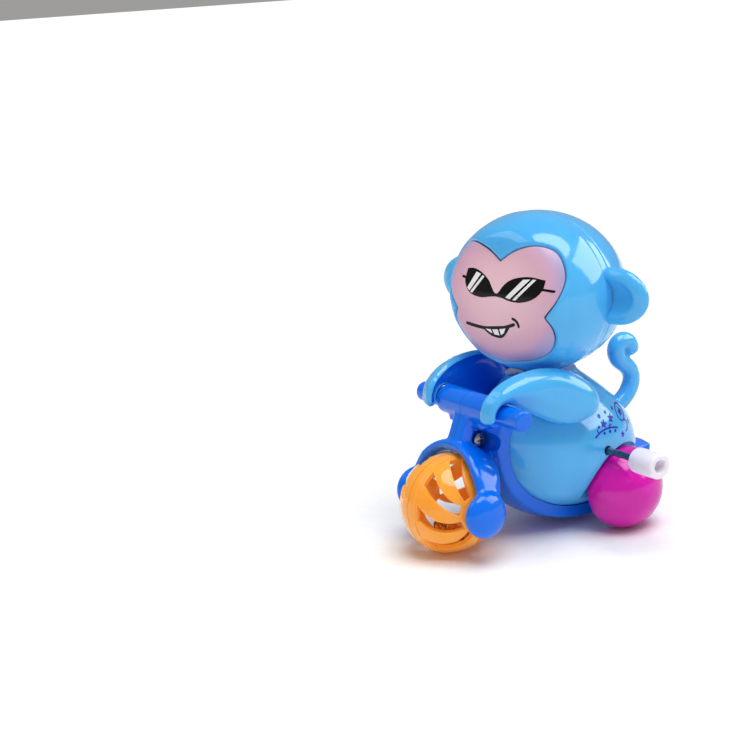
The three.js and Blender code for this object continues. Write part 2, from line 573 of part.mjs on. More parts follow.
function buildMotor() {
  const keySpot = { y: key.y, z: key.z };
  const axleSpot = { y: wheel.y, z: wheel.radius };
  const idlerSpot = idlerPlace();
  const spots = [keySpot, axleSpot, idlerSpot];
  const slab = solid(sideSlab(plateOutline(), keyRun, plate.outer));
  const holes = spots.map(({ y, z }) => rod(key.shaft + slip, 0, overcut, y, z, 10));
  const left = asGeometry(cut(slab, ...holes));
  addPiece('motor_plate_left', left, 'acetal');
  addPiece('motor_plate_right', mirrored(left), 'acetal');
  pillarCorners.forEach(([y, z], index) => {
    addPiece(`motor_pillar_${index + 1}`, asGeometry(rod(pillarRadius, -keyRun + slip, keyRun - slip, y, z, 14)),
      'steel');
  });

  const mainX = spring.start + spring.wide + 2 * slip;
  const mainTurn = 0;
  const idlerTurn = meshTurn(keySpot, gear.mainTeeth, mainTurn, idlerSpot, gear.pinionTeeth);
  const axleTurn = meshTurn(idlerSpot, gear.idlerTeeth, idlerTurn, axleSpot, gear.pinionTeeth);
  const fit = key.shaft + slip;
  addPiece('main_gear', asGeometry(gearSolid(gear.mainTeeth, fit, mainX, mainX + gear.mainThick, keySpot, mainTurn)),
    'acetal');
  const ratchetX = mainX + gear.mainThick + slip;
  const teeth = Array.from({ length: gear.ratchetTeeth }, (_, tooth) => {
    const angle = 2 * Math.PI * tooth / gear.ratchetTeeth;
    const low = gear.ratchetRadius - 1;
    return points2d([[gear.ratchetRadius * Math.cos(angle), gear.ratchetRadius * Math.sin(angle)],
      [low * Math.cos(angle + 0.06), low * Math.sin(angle + 0.06)]]);
  }).flat();
  const ratchet = cut(solid(sideSlab(new THREE.Shape(teeth), ratchetX, ratchetX + 1.4)
    .translate(0, key.y, key.z)), rod(fit, -overcut, overcut, key.y, key.z, 16));
  addPiece('ratchet_wheel', asGeometry(ratchet), 'steel');
  const pinionX = mainX + gear.mainThick / 2 - gear.pinionThick / 2;
  addPiece('idler_pinion', asGeometry(gearSolid(gear.pinionTeeth, fit, pinionX, pinionX + gear.pinionThick,
    idlerSpot, idlerTurn)), 'steel');
  const idlerX = pinionX + gear.pinionThick + slip;
  addPiece('idler_gear', asGeometry(gearSolid(gear.idlerTeeth, fit, idlerX, idlerX + gear.mainThick,
    idlerSpot, idlerTurn)), 'acetal');
  const lastX = idlerX + gear.mainThick / 2 - gear.pinionThick / 2;
  addPiece('axle_pinion', asGeometry(gearSolid(gear.pinionTeeth, fit, lastX, lastX + gear.pinionThick,
    axleSpot, axleTurn)), 'steel');
  addPiece('idler_shaft', asGeometry(rod(key.shaft, -plate.outer, plate.outer, idlerSpot.y, idlerSpot.z, 16)),
    'steel');
  addPiece('mainspring', asGeometry(solid(sideSlab(new THREE.Shape(spiralOutline()), spring.start,
    spring.start + spring.wide))), 'steel');

  const knobEnd = key.knobStart + key.knobLong;
  const shaftEnd = key.knobStart + key.inset;
  addPiece('winding_shaft', asGeometry(rod(key.shaft, -plate.outer, shaftEnd, key.y, key.z, 16)), 'steel');
  const knob = spun([[0, key.knobStart], [key.knobRadius - 0.6, key.knobStart],
    [key.knobRadius, key.knobStart + 0.6], [key.knobRadius, knobEnd - 0.4], [key.knobRadius - 0.4, knobEnd],
    [0, knobEnd]], key.y, key.z, 20);
  const socket = rod(key.socket, knobEnd - key.socketDeep, knobEnd + 1, key.y, key.z, 14);
  const shaftHole = rod(key.shaft + slip, key.knobStart - 1, shaftEnd + slip, key.y, key.z, 16);
  addPiece('winding_knob', asGeometry(cut(knob, socket, shaftHole)), 'nylon');
}

// ---------------------------------------------------------------- the whole toy
buildHead();
buildNeck();
buildBelly();
buildTail();
buildArms();
buildFrame();
buildScrews();
buildBall();
buildRearWheels();
buildMotor();

// The origin is on the ground under the middle of the toy's outer box.
toy.updateMatrixWorld(true);
const reach = new THREE.Box3().setFromObject(toy);
const middle = reach.getCenter(new THREE.Vector3());
toy.position.set(-middle.x, -middle.y, -reach.min.z);

export default toy;
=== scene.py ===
# %% [markdown]
# # A wind-up monkey that rides a tricycle
# This lesson dresses a finished mechanical model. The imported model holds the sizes, the pivots and
# everything that turns. Here each moulding gets its smooth skin, its seams and its finish.

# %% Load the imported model
import json
import math
import bpy
import bmesh
from mathutils import Matrix, Vector
from mathutils.kdtree import KDTree


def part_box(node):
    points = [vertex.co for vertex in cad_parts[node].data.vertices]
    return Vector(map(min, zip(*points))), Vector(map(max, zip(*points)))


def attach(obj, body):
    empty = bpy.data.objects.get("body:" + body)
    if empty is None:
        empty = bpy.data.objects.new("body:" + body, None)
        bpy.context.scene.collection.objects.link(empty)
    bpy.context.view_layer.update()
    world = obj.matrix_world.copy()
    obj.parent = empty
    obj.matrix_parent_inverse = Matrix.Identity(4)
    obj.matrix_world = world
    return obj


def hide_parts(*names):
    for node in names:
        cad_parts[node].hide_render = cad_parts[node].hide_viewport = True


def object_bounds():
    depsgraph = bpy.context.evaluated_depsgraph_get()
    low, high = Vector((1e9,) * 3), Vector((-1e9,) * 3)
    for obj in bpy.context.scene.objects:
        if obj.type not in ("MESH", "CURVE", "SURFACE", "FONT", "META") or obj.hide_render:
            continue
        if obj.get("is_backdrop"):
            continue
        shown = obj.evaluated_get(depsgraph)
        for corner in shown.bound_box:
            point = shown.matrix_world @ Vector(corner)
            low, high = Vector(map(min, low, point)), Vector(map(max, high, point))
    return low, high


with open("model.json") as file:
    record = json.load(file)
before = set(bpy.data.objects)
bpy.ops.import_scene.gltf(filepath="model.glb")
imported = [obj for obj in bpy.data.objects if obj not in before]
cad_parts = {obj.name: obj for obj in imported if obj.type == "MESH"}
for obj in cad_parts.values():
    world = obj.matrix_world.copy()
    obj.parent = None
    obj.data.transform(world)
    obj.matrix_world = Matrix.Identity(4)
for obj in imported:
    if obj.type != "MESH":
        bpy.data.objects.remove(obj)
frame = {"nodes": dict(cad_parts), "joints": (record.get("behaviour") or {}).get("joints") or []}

# %% [markdown]
# ## Millimetres and metres
# A toy is drawn in millimetres, and Blender counts in metres. Every piece below is modelled in the
# drawing's millimetres and is scaled once, at the end. The drawing's origin lies on the middle plane
# of the toy, a known step behind the front axle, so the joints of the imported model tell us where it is.

# %% The drawing's frame
MM = 0.001
FRONT_AXLE_FROM_ORIGIN = -25.2
scene = bpy.context.scene
cad_low, cad_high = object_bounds()
pivot = {joint["name"]: Vector(joint["pos_m"]) for joint in frame["joints"]}
HOME = Vector((pivot["bell_2_swing"].x, pivot["ball_roll"].y - FRONT_AXLE_FROM_ORIGIN * MM, 0))
TO_METRES = Matrix.Translation(HOME) @ Matrix.Scale(MM, 4)
drawn = {name: (point - HOME) / MM for name, point in pivot.items()}
front_axle, rear_axle, key_axis = drawn["ball_roll"], drawn["wheel_spin"], drawn["key_turn"]
head_axis = drawn["head_turn"]
print("front axle at", [round(c, 2) for c in front_axle])
print("rear axle at", [round(c, 2) for c in rear_axle])

# %% [markdown]
# ## A small workbench of helpers
# Blender's modifiers can be used like hand tools: put a mesh in, take the changed mesh out. `modified`
# does that for one modifier, and `carved` uses it to cut one solid with another. `together` only lays
# meshes in one heap, and `face_out` turns the faces of a closed mesh outwards.

# %% Modifiers as hand tools
def as_object(bm, name="work"):
    mesh = bpy.data.meshes.new(name)
    bm.to_mesh(mesh)
    bm.free()
    made = bpy.data.objects.new(name, mesh)
    scene.collection.objects.link(made)
    return made


def modified(bm, kind, **settings):
    work = as_object(bm)
    modifier = work.modifiers.new(kind, kind)
    for setting, value in settings.items():
        setattr(modifier, setting, value)
    graph = bpy.context.evaluated_depsgraph_get()
    evaluated = work.evaluated_get(graph)
    result = bmesh.new()
    result.from_mesh(evaluated.to_mesh())
    evaluated.to_mesh_clear()
    mesh = work.data
    bpy.data.objects.remove(work)
    bpy.data.meshes.remove(mesh)
    return result


def carved(bm, cutter, operation="DIFFERENCE"):
    tool = as_object(cutter, "cutter")
    result = modified(bm, "BOOLEAN", object=tool, operation=operation, solver="EXACT")
    mesh = tool.data
    bpy.data.objects.remove(tool)
    bpy.data.meshes.remove(mesh)
    return result


def together(*parts):
    whole = bmesh.new()
    for part in parts:
        mesh = bpy.data.meshes.new("part")
        part.to_mesh(mesh)
        part.free()
        whole.from_mesh(mesh)
        bpy.data.meshes.remove(mesh)
    return whole


def face_out(bm):
    bmesh.ops.recalc_face_normals(bm, faces=bm.faces)
    if bm.calc_volume(signed=True) < 0:
        bmesh.ops.reverse_faces(bm, faces=bm.faces)
    return bm


# %% [markdown]
# A moulded part never has a knife-sharp edge. `rounded` bevels every edge that is sharper than an
# angle, and `softened` melts a group of overlapping solids into one moulding with fillets: a voxel
# remesh makes them one skin, and smoothing rolls the corners.

# %% Rounding and melting
SLIT = 0.15    # half of the slit that two mouldings leave between them


def rounded(bm, width, segments=3, sharper_than=40):
    sharp = [edge for edge in bm.edges
             if len(edge.link_faces) == 2 and edge.calc_face_angle(0) > math.radians(sharper_than)]
    bmesh.ops.bevel(bm, geom=sharp, offset=width, offset_type="OFFSET", segments=segments,
                    profile=0.5, affect="EDGES", material=-1, clamp_overlap=True)
    return bm


def softened(bm, voxel, rounds):
    bm = modified(bm, "REMESH", mode="VOXEL", voxel_size=voxel)
    for _ in range(rounds):
        bmesh.ops.smooth_vert(bm, verts=bm.verts, factor=0.5,
                              use_axis_x=True, use_axis_y=True, use_axis_z=True)
    return bm


def moved(bm, x=0.0, y=0.0, z=0.0):
    bmesh.ops.translate(bm, verts=bm.verts, vec=(x, y, z))
    return bm


def tilted(bm, degrees, axis):
    bmesh.ops.rotate(bm, verts=bm.verts, matrix=Matrix.Rotation(math.radians(degrees), 3, axis))
    return bm


def mirrored(bm):
    bmesh.ops.scale(bm, verts=bm.verts, vec=(-1, 1, 1))
    bmesh.ops.reverse_faces(bm, faces=bm.faces)
    return bm


def half_of(bm, side, slit=SLIT):
    """The half on one side of the middle plane. Every outline of the cut gets its own flat cap."""
    cut = bmesh.ops.bisect_plane(bm, geom=bm.verts[:] + bm.edges[:] + bm.faces[:], dist=1e-4,
                                 plane_co=(side * slit, 0, 0), plane_no=(-side, 0, 0),
                                 clear_outer=True)
    rim = [e for e in cut["geom_cut"] if isinstance(e, bmesh.types.BMEdge)]
    bmesh.ops.holes_fill(bm, edges=rim, sides=0)
    return face_out(bm)


# %% [markdown]
# Basic bodies: a rod or disc along the toy's cross axis, an egg, a turned profile, and a plate cut
# from a side-view outline. Each one starts from a bmesh operator.

# %% Basic bodies
def rod(radius, x0, x1, y, z, sides=64, edge=0.0):
    bm = bmesh.new()
    bmesh.ops.create_cone(bm, cap_ends=True, segments=sides, radius1=radius, radius2=radius,
                          depth=x1 - x0)
    tilted(bm, 90, "Y")
    if edge:
        rounded(bm, edge)
    return moved(bm, (x0 + x1) / 2, y, z)


def egg(half_x, half_y, half_z, x=0.0, y=0.0, z=0.0, around=96, up=48, pole="Z"):
    bm = bmesh.new()
    bmesh.ops.create_uvsphere(bm, u_segments=around, v_segments=up, radius=1)
    if pole != "Z":
        tilted(bm, 90, "Y" if pole == "X" else "X")
    bmesh.ops.scale(bm, verts=bm.verts, vec=(half_x, half_y, half_z))
    return moved(bm, x, y, z)


def turned(profile, along="X", steps=96):
    """A closed profile of (radius, distance) pairs spun round an axis through the origin."""
    bm = bmesh.new()
    spots = [bm.verts.new((d, r, 0) if along == "X" else (r, 0, d)) for r, d in profile]
    edges = [bm.edges.new(pair) for pair in zip(spots, spots[1:])]
    axis = (1, 0, 0) if along == "X" else (0, 0, 1)
    bmesh.ops.spin(bm, geom=spots + edges, cent=(0, 0, 0), axis=axis, angle=2 * math.pi,
                   steps=steps, use_merge=True)
    bmesh.ops.remove_doubles(bm, verts=bm.verts, dist=1e-4)
    return face_out(bm)


def side_plate(outline, x0, x1):
    """A plate with the side-view outline (y, z), from x0 to x1."""
    bm = bmesh.new()
    face = bm.faces.new([bm.verts.new((x0, y, z)) for y, z in outline])
    grown = bmesh.ops.extrude_face_region(bm, geom=[face])
    raised = [v for v in grown["geom"] if isinstance(v, bmesh.types.BMVert)]
    bmesh.ops.translate(bm, verts=raised, vec=(x1 - x0, 0, 0))
    return face_out(bm)


def arc(centre, radius, start, end, steps):
    """Points on an arc in the side view, angles in degrees from the +Y direction."""
    angles = [math.radians(start + (end - start) * k / steps) for k in range(steps + 1)]
    return [(centre[0] + radius * math.cos(a), centre[1] + radius * math.sin(a)) for a in angles]


def smooth_line(points, steps):
    """A Catmull-Rom line through the points."""
    spots = [Vector(p) for p in points]
    spots = [2 * spots[0] - spots[1], *spots, 2 * spots[-1] - spots[-2]]
    line = []
    for a, b, c, d in zip(spots, spots[1:], spots[2:], spots[3:]):
        for k in range(steps):
            t = k / steps
            line.append(0.5 * (2 * b + (c - a) * t + (2 * a - 5 * b + 4 * c - d) * t * t
                               + (3 * b - a - 3 * c + d) * t ** 3))
    return [*line, spots[-2]]


def inset(outline, distance):
    """The outline moved inwards, for outlines that run counter-clockwise."""
    count = len(outline)
    result = []
    for i, point in enumerate(outline):
        arriving = (Vector(point) - Vector(outline[i - 1])).normalized()
        leaving = (Vector(outline[(i + 1) % count]) - Vector(point)).normalized()
        inward = Vector((-arriving.y - leaving.y, arriving.x + leaving.x)).normalized()
        spread = max(0.5, math.sqrt((1 + arriving.dot(leaving)) / 2))
        result.append(Vector(point) + inward * distance / spread)
    return result


# %% [markdown]
# ## Moulded plastic
# Injection-moulded styrene is glossy, but it isn't perfect: the pigment streaks a little where the
# melt flowed, the surface has a faint orange peel, and handling leaves hairline scratches that show
# only in the gloss. One function makes that finish in any colour. The bump is far finer than a
# millimetre, so the highlights stay clean. Patterns read Object coordinates, which are in metres.
# Thin orange plastic also lets daylight through its wall, and a faint light of its own stands in
# for that.

# %% A finish for moulded plastic
def new_material(name):
    material = bpy.data.materials.new(name)
    material.use_nodes = True
    nodes, links = material.node_tree.nodes, material.node_tree.links
    place = nodes.new("ShaderNodeTexCoord").outputs["Object"]
    return material, nodes, links, nodes["Principled BSDF"], place


def noise(nodes, links, coordinates, scale, detail=3.0, stretch=(1, 1, 1)):
    mapping = nodes.new("ShaderNodeMapping")
    mapping.inputs["Scale"].default_value = stretch
    links.new(coordinates, mapping.inputs["Vector"])
    texture = nodes.new("ShaderNodeTexNoise")
    texture.inputs["Scale"].default_value = scale
    texture.inputs["Detail"].default_value = detail
    links.new(mapping.outputs["Vector"], texture.inputs["Vector"])
    return texture.outputs["Fac"]


def ranged(nodes, links, value, low, high, start=0.3, end=0.7):
    node = nodes.new("ShaderNodeMapRange")
    node.inputs["From Min"].default_value = start
    node.inputs["From Max"].default_value = end
    node.inputs["To Min"].default_value = low
    node.inputs["To Max"].default_value = high
    links.new(value, node.inputs["Value"])
    return node.outputs["Result"]


def linear(hex_colour):
    """A screen colour such as 0x4FB2F2 as linear red, green, blue and alpha."""
    parts = [((hex_colour >> shift) & 255) / 255 for shift in (16, 8, 0)]
    return [p / 12.92 if p <= 0.04045 else ((p + 0.055) / 1.055) ** 2.4 for p in parts] + [1.0]


def tinted(nodes, links, factor, first, second):
    mix = nodes.new("ShaderNodeMix")
    mix.data_type = "RGBA"
    links.new(factor, mix.inputs["Factor"])
    mix.inputs["A"].default_value = first
    mix.inputs["B"].default_value = second
    return mix.outputs["Result"]


def bumped(nodes, links, shader, height, strength, distance):
    bump = nodes.new("ShaderNodeBump")
    bump.inputs["Strength"].default_value = strength
    bump.inputs["Distance"].default_value = distance
    links.new(height, bump.inputs["Height"])
    links.new(bump.outputs["Normal"], shader.inputs["Normal"])


def moulded(name, light, deep, rough=0.12, coat=0.3, gloss=0.4, glow=0.0,
            glow_radius=(1.0, 0.5, 0.3), lit=0.0, scratches=0.10, peel=0.012):
    material, nodes, links, shader, place = new_material(name)
    flow = noise(nodes, links, place, 60, 4, stretch=(1, 1, 0.35))
    pigment = tinted(nodes, links, ranged(nodes, links, flow, 0, 1), linear(light), linear(deep))
    links.new(pigment, shader.inputs["Base Color"])
    if lit:
        links.new(pigment, shader.inputs["Emission Color"])
        shader.inputs["Emission Strength"].default_value = lit
    wipe = noise(nodes, links, place, 900, 2, stretch=(1, 0.06, 0.5))
    smear = noise(nodes, links, place, 90, 3)
    both = nodes.new("ShaderNodeMath")
    both.operation = "MULTIPLY"
    links.new(ranged(nodes, links, wipe, 0, 1, 0.55, 0.8), both.inputs[0])
    links.new(ranged(nodes, links, smear, 0, 1, 0.4, 0.7), both.inputs[1])
    links.new(ranged(nodes, links, both.outputs[0], rough, rough + scratches, 0, 1),
              shader.inputs["Roughness"])
    bumped(nodes, links, shader, noise(nodes, links, place, 420, 2), peel, 0.0006)
    shader.inputs["IOR"].default_value = 1.52
    shader.inputs["Specular IOR Level"].default_value = gloss
    shader.inputs["Coat Weight"].default_value = coat
    shader.inputs["Coat Roughness"].default_value = 0.05
    if glow:
        shader.inputs["Subsurface Weight"].default_value = glow
        shader.inputs["Subsurface Radius"].default_value = glow_radius
        shader.inputs["Subsurface Scale"].default_value = 0.0015
    return material


sky = moulded("sky_blue_plastic", 0x52BCFA, 0x46B0F4, glow=0.08, glow_radius=(0.4, 0.8, 1.0))
royal = moulded("royal_blue_plastic", 0x007AFA, 0x006CEE, gloss=0.28, coat=0.2)
orange = moulded("orange_plastic", 0xFFB044, 0xFF9F30, gloss=0.3, glow=0.5, glow_radius=(1.0, 0.5, 0.12),
                 lit=0.09)
magenta = moulded("magenta_plastic", 0xDE12B2, 0xD00CA4, gloss=0.3, coat=0.2)
acetal = moulded("white_acetal", 0xF2EFE4, 0xEAE6D8, rough=0.35, coat=0.0)
print("plastics:", sky.name, royal.name, orange.name, magenta.name, acetal.name)

# %% [markdown]
# ## The pink face plate
# Its middle is an even pale pink, and towards the edges painted shade darkens it into a dusky
# blue-grey, where the plate curves away and sinks into its recess. The distance from the middle of the
# face drives that blend, read through a Mapping node that is centred on the head and squashed to the
# face's proportions. It is less glossy than the shells around it.

# %% A finish for the face, with painted shade at its edges
HEAD_CENTRE = Vector((0, head_axis.y, 71.5))
HEAD_TURN = math.radians(12.9)
ON_TOY = Matrix.Translation(HEAD_CENTRE) @ Matrix.Rotation(HEAD_TURN, 4, "Z")


def face_finish_with_painted_shade():
    material, nodes, links, shader, place = new_material("face_pink_painted_edge_shade")
    centred = nodes.new("ShaderNodeMapping")
    centred.vector_type = "TEXTURE"
    centred.inputs["Location"].default_value = TO_METRES @ ON_TOY @ Vector((0, -16, 1.5))
    centred.inputs["Rotation"].default_value = (0, 0, HEAD_TURN)
    centred.inputs["Scale"].default_value = (0.0235, 0.05, 0.0215)
    links.new(place, centred.inputs["Vector"])
    length = nodes.new("ShaderNodeVectorMath")
    length.operation = "LENGTH"
    links.new(centred.outputs["Vector"], length.inputs[0])
    cloud = noise(nodes, links, place, 110, 3)
    uneven = nodes.new("ShaderNodeMath")
    uneven.operation = "MULTIPLY_ADD"
    links.new(cloud, uneven.inputs[0])
    uneven.inputs[1].default_value = 0.14
    links.new(length.outputs["Value"], uneven.inputs[2])
    ramp = nodes.new("ShaderNodeValToRGB")
    links.new(uneven.outputs[0], ramp.inputs["Fac"])
    # Painted shade: the pink darkens into a dusky blue-grey towards the edges of the plate.
    stops = [(0.0, 0xF9D0DB), (0.5, 0xF2C3D1), (0.82, 0xDFADC6), (1.0, 0xA9A0CC)]
    while len(ramp.color_ramp.elements) < len(stops):
        ramp.color_ramp.elements.new(0.5)
    for element, (position, colour) in zip(ramp.color_ramp.elements, stops):
        element.position = position
        element.color = linear(colour)
    links.new(ramp.outputs["Color"], shader.inputs["Base Color"])
    bumped(nodes, links, shader, noise(nodes, links, place, 2600, 2), 0.05, 0.0002)
    links.new(ranged(nodes, links, cloud, 0.34, 0.46), shader.inputs["Roughness"])
    return material


face_pink = face_finish_with_painted_shade()

# %% [markdown]
# ## Ink, metal and nylon
# Pad-printing ink is thin and a little satin, with tiny uneven spots. The metals need fine turning
# marks across the axis, and the nylon knob is milky: light goes into it and comes out softened.

# %% Finishes for ink, metal and nylon
def ink(name, light, deep, rough=0.3):
    return moulded(name, light, deep, rough=rough, coat=0.0, gloss=0.2, scratches=0.12, peel=0.02)


def metal(name, light, deep, rough=0.25):
    material, nodes, links, shader, place = new_material(name)
    stain = noise(nodes, links, place, 350, 4)
    links.new(tinted(nodes, links, ranged(nodes, links, stain, 0, 1), linear(light), linear(deep)),
              shader.inputs["Base Color"])
    turning = noise(nodes, links, place, 500, 2, stretch=(12, 1, 1))
    links.new(ranged(nodes, links, turning, rough - 0.06, rough + 0.1), shader.inputs["Roughness"])
    bumped(nodes, links, shader, turning, 0.12, 0.0001)
    shader.inputs["Metallic"].default_value = 1.0
    return material


black_ink = ink("black_ink", 0x0B0B0D, 0x050506, rough=0.22)
white_ink = ink("white_ink", 0xFAFAFC, 0xF1F2F6)
violet_ink = ink("violet_ink", 0x2E1FC0, 0x2417A8)
steel = metal("plated_steel", 0x9AA0A8, 0x7E858E)
dark_steel = metal("oiled_steel", 0x74838F, 0x55626D)
brass = metal("bell_brass", 0xD9A24A, 0xB97F2E, rough=0.2)
nylon = moulded("milky_nylon", 0xF6F2FA, 0xEDE8F4, rough=0.32, coat=0.0, glow=0.6,
                glow_radius=(1.0, 0.85, 1.0), peel=0.03)
print("inks and metals ready")

# %% [markdown]
# ## From drawing to finished piece
# `finished` scales a bmesh to metres in its place on the toy, shades it smooth except at real edges,
# gives it its finish, hides the CAD nodes it stands for, and hangs it on an empty for the body it rides
# on.

# %% Finish a piece
def finished(bm, name, material, body, nodes=(), sharp=38):
    bmesh.ops.transform(bm, verts=bm.verts, matrix=TO_METRES)
    piece = as_object(bm, name)
    piece.name = name
    piece.data.materials.append(material)
    piece.data.shade_smooth()
    piece.data.set_sharp_from_angle(angle=math.radians(sharp))
    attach(piece, body)
    if nodes:
        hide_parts(*nodes)
    print(f"{name}: {len(piece.data.polygons)} faces")
    return piece


# %% [markdown]
# ## The camera
# A long lens, a little above the toy, from its front left. It comes early, because everything else
# is judged through it.

# %% Place the camera
CAMERA = {"spot": Vector((358.87, -265.81, 160.38)), "azimuth": 58.66, "elevation": 13.84,
          "roll": -4.07, "lens": 75.3, "sensor": 36}


def place_camera():
    azimuth, elevation, roll = (math.radians(CAMERA[key]) for key in ("azimuth", "elevation", "roll"))
    back = Vector((math.sin(azimuth) * math.cos(elevation), -math.cos(azimuth) * math.cos(elevation),
                   math.sin(elevation)))
    right = (-back).cross(Vector((0, 0, 1))).normalized()
    up = right.cross(-back)
    across = right * math.cos(roll) + up * math.sin(roll)
    upright = up * math.cos(roll) - right * math.sin(roll)
    camera = bpy.data.objects.new("camera", bpy.data.cameras.new("camera"))
    scene.collection.objects.link(camera)
    look = Matrix((across, upright, back)).transposed().to_4x4()
    camera.matrix_world = Matrix.Translation(TO_METRES @ CAMERA["spot"]) @ look
    camera.data.sensor_width = CAMERA["sensor"]
    camera.data.lens = CAMERA["lens"]
    camera.data.clip_start = 0.01
    scene.camera = camera
    return camera


camera = place_camera()
print("camera", [round(c, 3) for c in camera.location])

# %% [markdown]
# ## The head
# The head is an ellipsoid whose front is pressed flatter. Working on a unit ball and pushing its
# points out with one formula keeps the front shell, the back shell, the face plate and the print on
# the same skin, whatever their edges are. The front shell is a ring of skin between the heart-shaped
# face opening and the seam, so its edges follow both of them exactly.

# %% The skin of the head
HEAD_HALF = Vector((26.2, 25.6, 23.6))
HEAD_WALL = 1.8
FACE_FLAT, FACE_LEAN, FACE_LEAN_FROM, FACE_SHARP = 18.3, 0.2, 2.0, 10
SEAM_Y = 1.5
FACE_PROUD = -0.5
LIP = 1.1
SEAM_BAND, SEAM_STEP, SEAM_SLOPE = 3.0, 0.2, 0.6


def head_skin(spot, grow=0.0):
    x, y, z = (spot[i] * (HEAD_HALF[i] + grow) for i in range(3))
    if y < 0:
        flat = FACE_FLAT + grow - FACE_LEAN * max(0.0, z - FACE_LEAN_FROM)
        y /= (1 + (-y / flat) ** FACE_SHARP) ** (1 / FACE_SHARP)
    return Vector((x, y, z))


def on_front(x, z):
    """The unit-ball point behind a front-view point of the head."""
    across, up = x / HEAD_HALF.x, z / HEAD_HALF.z
    return Vector((across, -math.sqrt(max(0.0, 1 - across * across - up * up)), up))


def heart_outline():
    brow = smooth_line([(0, 11.6), (4.8, 14.6), (11, 16.4), (16.2, 15.1), (19.6, 11.4), (21.2, 6.4),
                        (19.9, 1.2), (16.4, -3.4)], 10)
    muzzle = smooth_line([(16.4, -3.4), (18.2, -6.6), (17.9, -10.4), (15, -14.5), (9.6, -17.2),
                          (0, -18.5)], 10)
    left = [*brow, *muzzle[1:]]
    return [(p.x, p.y) for p in reversed(left)] + [(-p.x, p.y) for p in left[1:-1]]


heart = heart_outline()
print("heart outline:", len(heart), "points")

# %% [markdown]
# The front shell: a heart loop and a seam loop with matching points are bridged, the bridge is
# subdivided, and every new point is thrown onto the skin. Near the heart the skin sinks along a
# quarter circle, which makes the round lip of the opening, and beside the seam it lies a little
# lower. A Solidify gives the wall, and a bevel rolls the two rims.

# %% Build the head shells
def dome(share):
    """The height of a quarter circle, from 0 at its foot to 1 at its top."""
    return math.sqrt(1 - (1 - min(1.0, share)) ** 2)


def distance_to(outline):
    """A function that gives the distance to a closed line of points, sampled finely."""
    samples = []
    for i, point in enumerate(outline):
        before = Vector(outline[i - 1])
        samples += [before.lerp(Vector(point), k / 8) for k in range(8)]
    tree = KDTree(len(samples))
    for i, sample in enumerate(samples):
        tree.insert(sample.to_3d(), i)
    tree.balance()
    return lambda spot: tree.find(spot.to_3d())[2]


def head_front():
    bm = bmesh.new()
    seam = (SEAM_Y - SLIT) / HEAD_HALF.y
    seam_radius = math.sqrt(1 - seam * seam)
    inner = [bm.verts.new(on_front(x, z)) for x, z in heart]
    outer = []
    for x, z in heart:
        angle = math.atan2(z / HEAD_HALF.z + 0.04, x / HEAD_HALF.x)
        outer.append(bm.verts.new((seam_radius * math.cos(angle), seam, seam_radius * math.sin(angle))))
    loops = [bm.edges.new((ring[i - 1], ring[i]))
             for ring in (inner, outer) for i in range(len(ring))]
    bridge = bmesh.ops.bridge_loops(bm, edges=loops)
    across = [e for e in bridge["edges"] if e not in set(loops)]
    bmesh.ops.subdivide_edges(bm, edges=across, cuts=40, use_grid_fill=True)
    for vert in bm.verts:
        spot = vert.co.normalized()
        near_seam = (spot.y * HEAD_HALF.y - SEAM_Y + SEAM_BAND) / SEAM_SLOPE
        vert.co = head_skin(spot, -SEAM_STEP * min(1.0, max(0.0, near_seam)))
    bmesh.ops.recalc_face_normals(bm, faces=bm.faces)
    outwards = sum(f.normal.dot(f.calc_center_median()) for f in bm.faces)
    if outwards < 0:
        bmesh.ops.reverse_faces(bm, faces=bm.faces)
    rim = distance_to([head_skin(on_front(x, z)) for x, z in heart])
    bm.normal_update()
    sunk = [(vert, vert.normal * (1 - dome(rim(vert.co) / LIP)) * LIP) for vert in bm.verts]
    for vert, sink in sunk:
        vert.co -= sink
    bm = modified(bm, "SOLIDIFY", thickness=HEAD_WALL, offset=-1)
    rounded(bm, 0.32, 3, 55)
    bmesh.ops.transform(bm, verts=bm.verts, matrix=ON_TOY)
    return bm


def head_back():
    bm = egg(1, 1, 1, around=128, up=64, pole="Y")
    seam = (SEAM_Y + SLIT) / HEAD_HALF.y
    bmesh.ops.bisect_plane(bm, geom=bm.verts[:] + bm.edges[:] + bm.faces[:], dist=1e-5,
                           plane_co=(0, seam, 0), plane_no=(0, -1, 0), clear_outer=True)
    for vert in bm.verts:
        vert.co = head_skin(vert.co, -SEAM_STEP)
    bm = modified(bm, "SOLIDIFY", thickness=HEAD_WALL, offset=-1)
    rounded(bm, 0.32, 3, 55)
    bmesh.ops.transform(bm, verts=bm.verts, matrix=ON_TOY)
    return bm


finished(head_front(), "head_front", sky, "head", ["head_front_shell"])
finished(head_back(), "head_back", sky, "head", ["head_back_shell"])

# %% [markdown]
# The face plate fills the heart with a thin slit around it. Its skin starts from the outline loop,
# which is extruded towards the middle ring by ring, as an icing bag would fill it.

# %% Build the face plate
FACE_SLIT, FACE_THICK = 0.12, 0.7


def facing(bm, way):
    """Open skins have no outside, so their faces are turned to look the given way."""
    bmesh.ops.recalc_face_normals(bm, faces=bm.faces)
    if sum(f.normal.dot(way) for f in bm.faces) < 0:
        bmesh.ops.reverse_faces(bm, faces=bm.faces)
    return bm


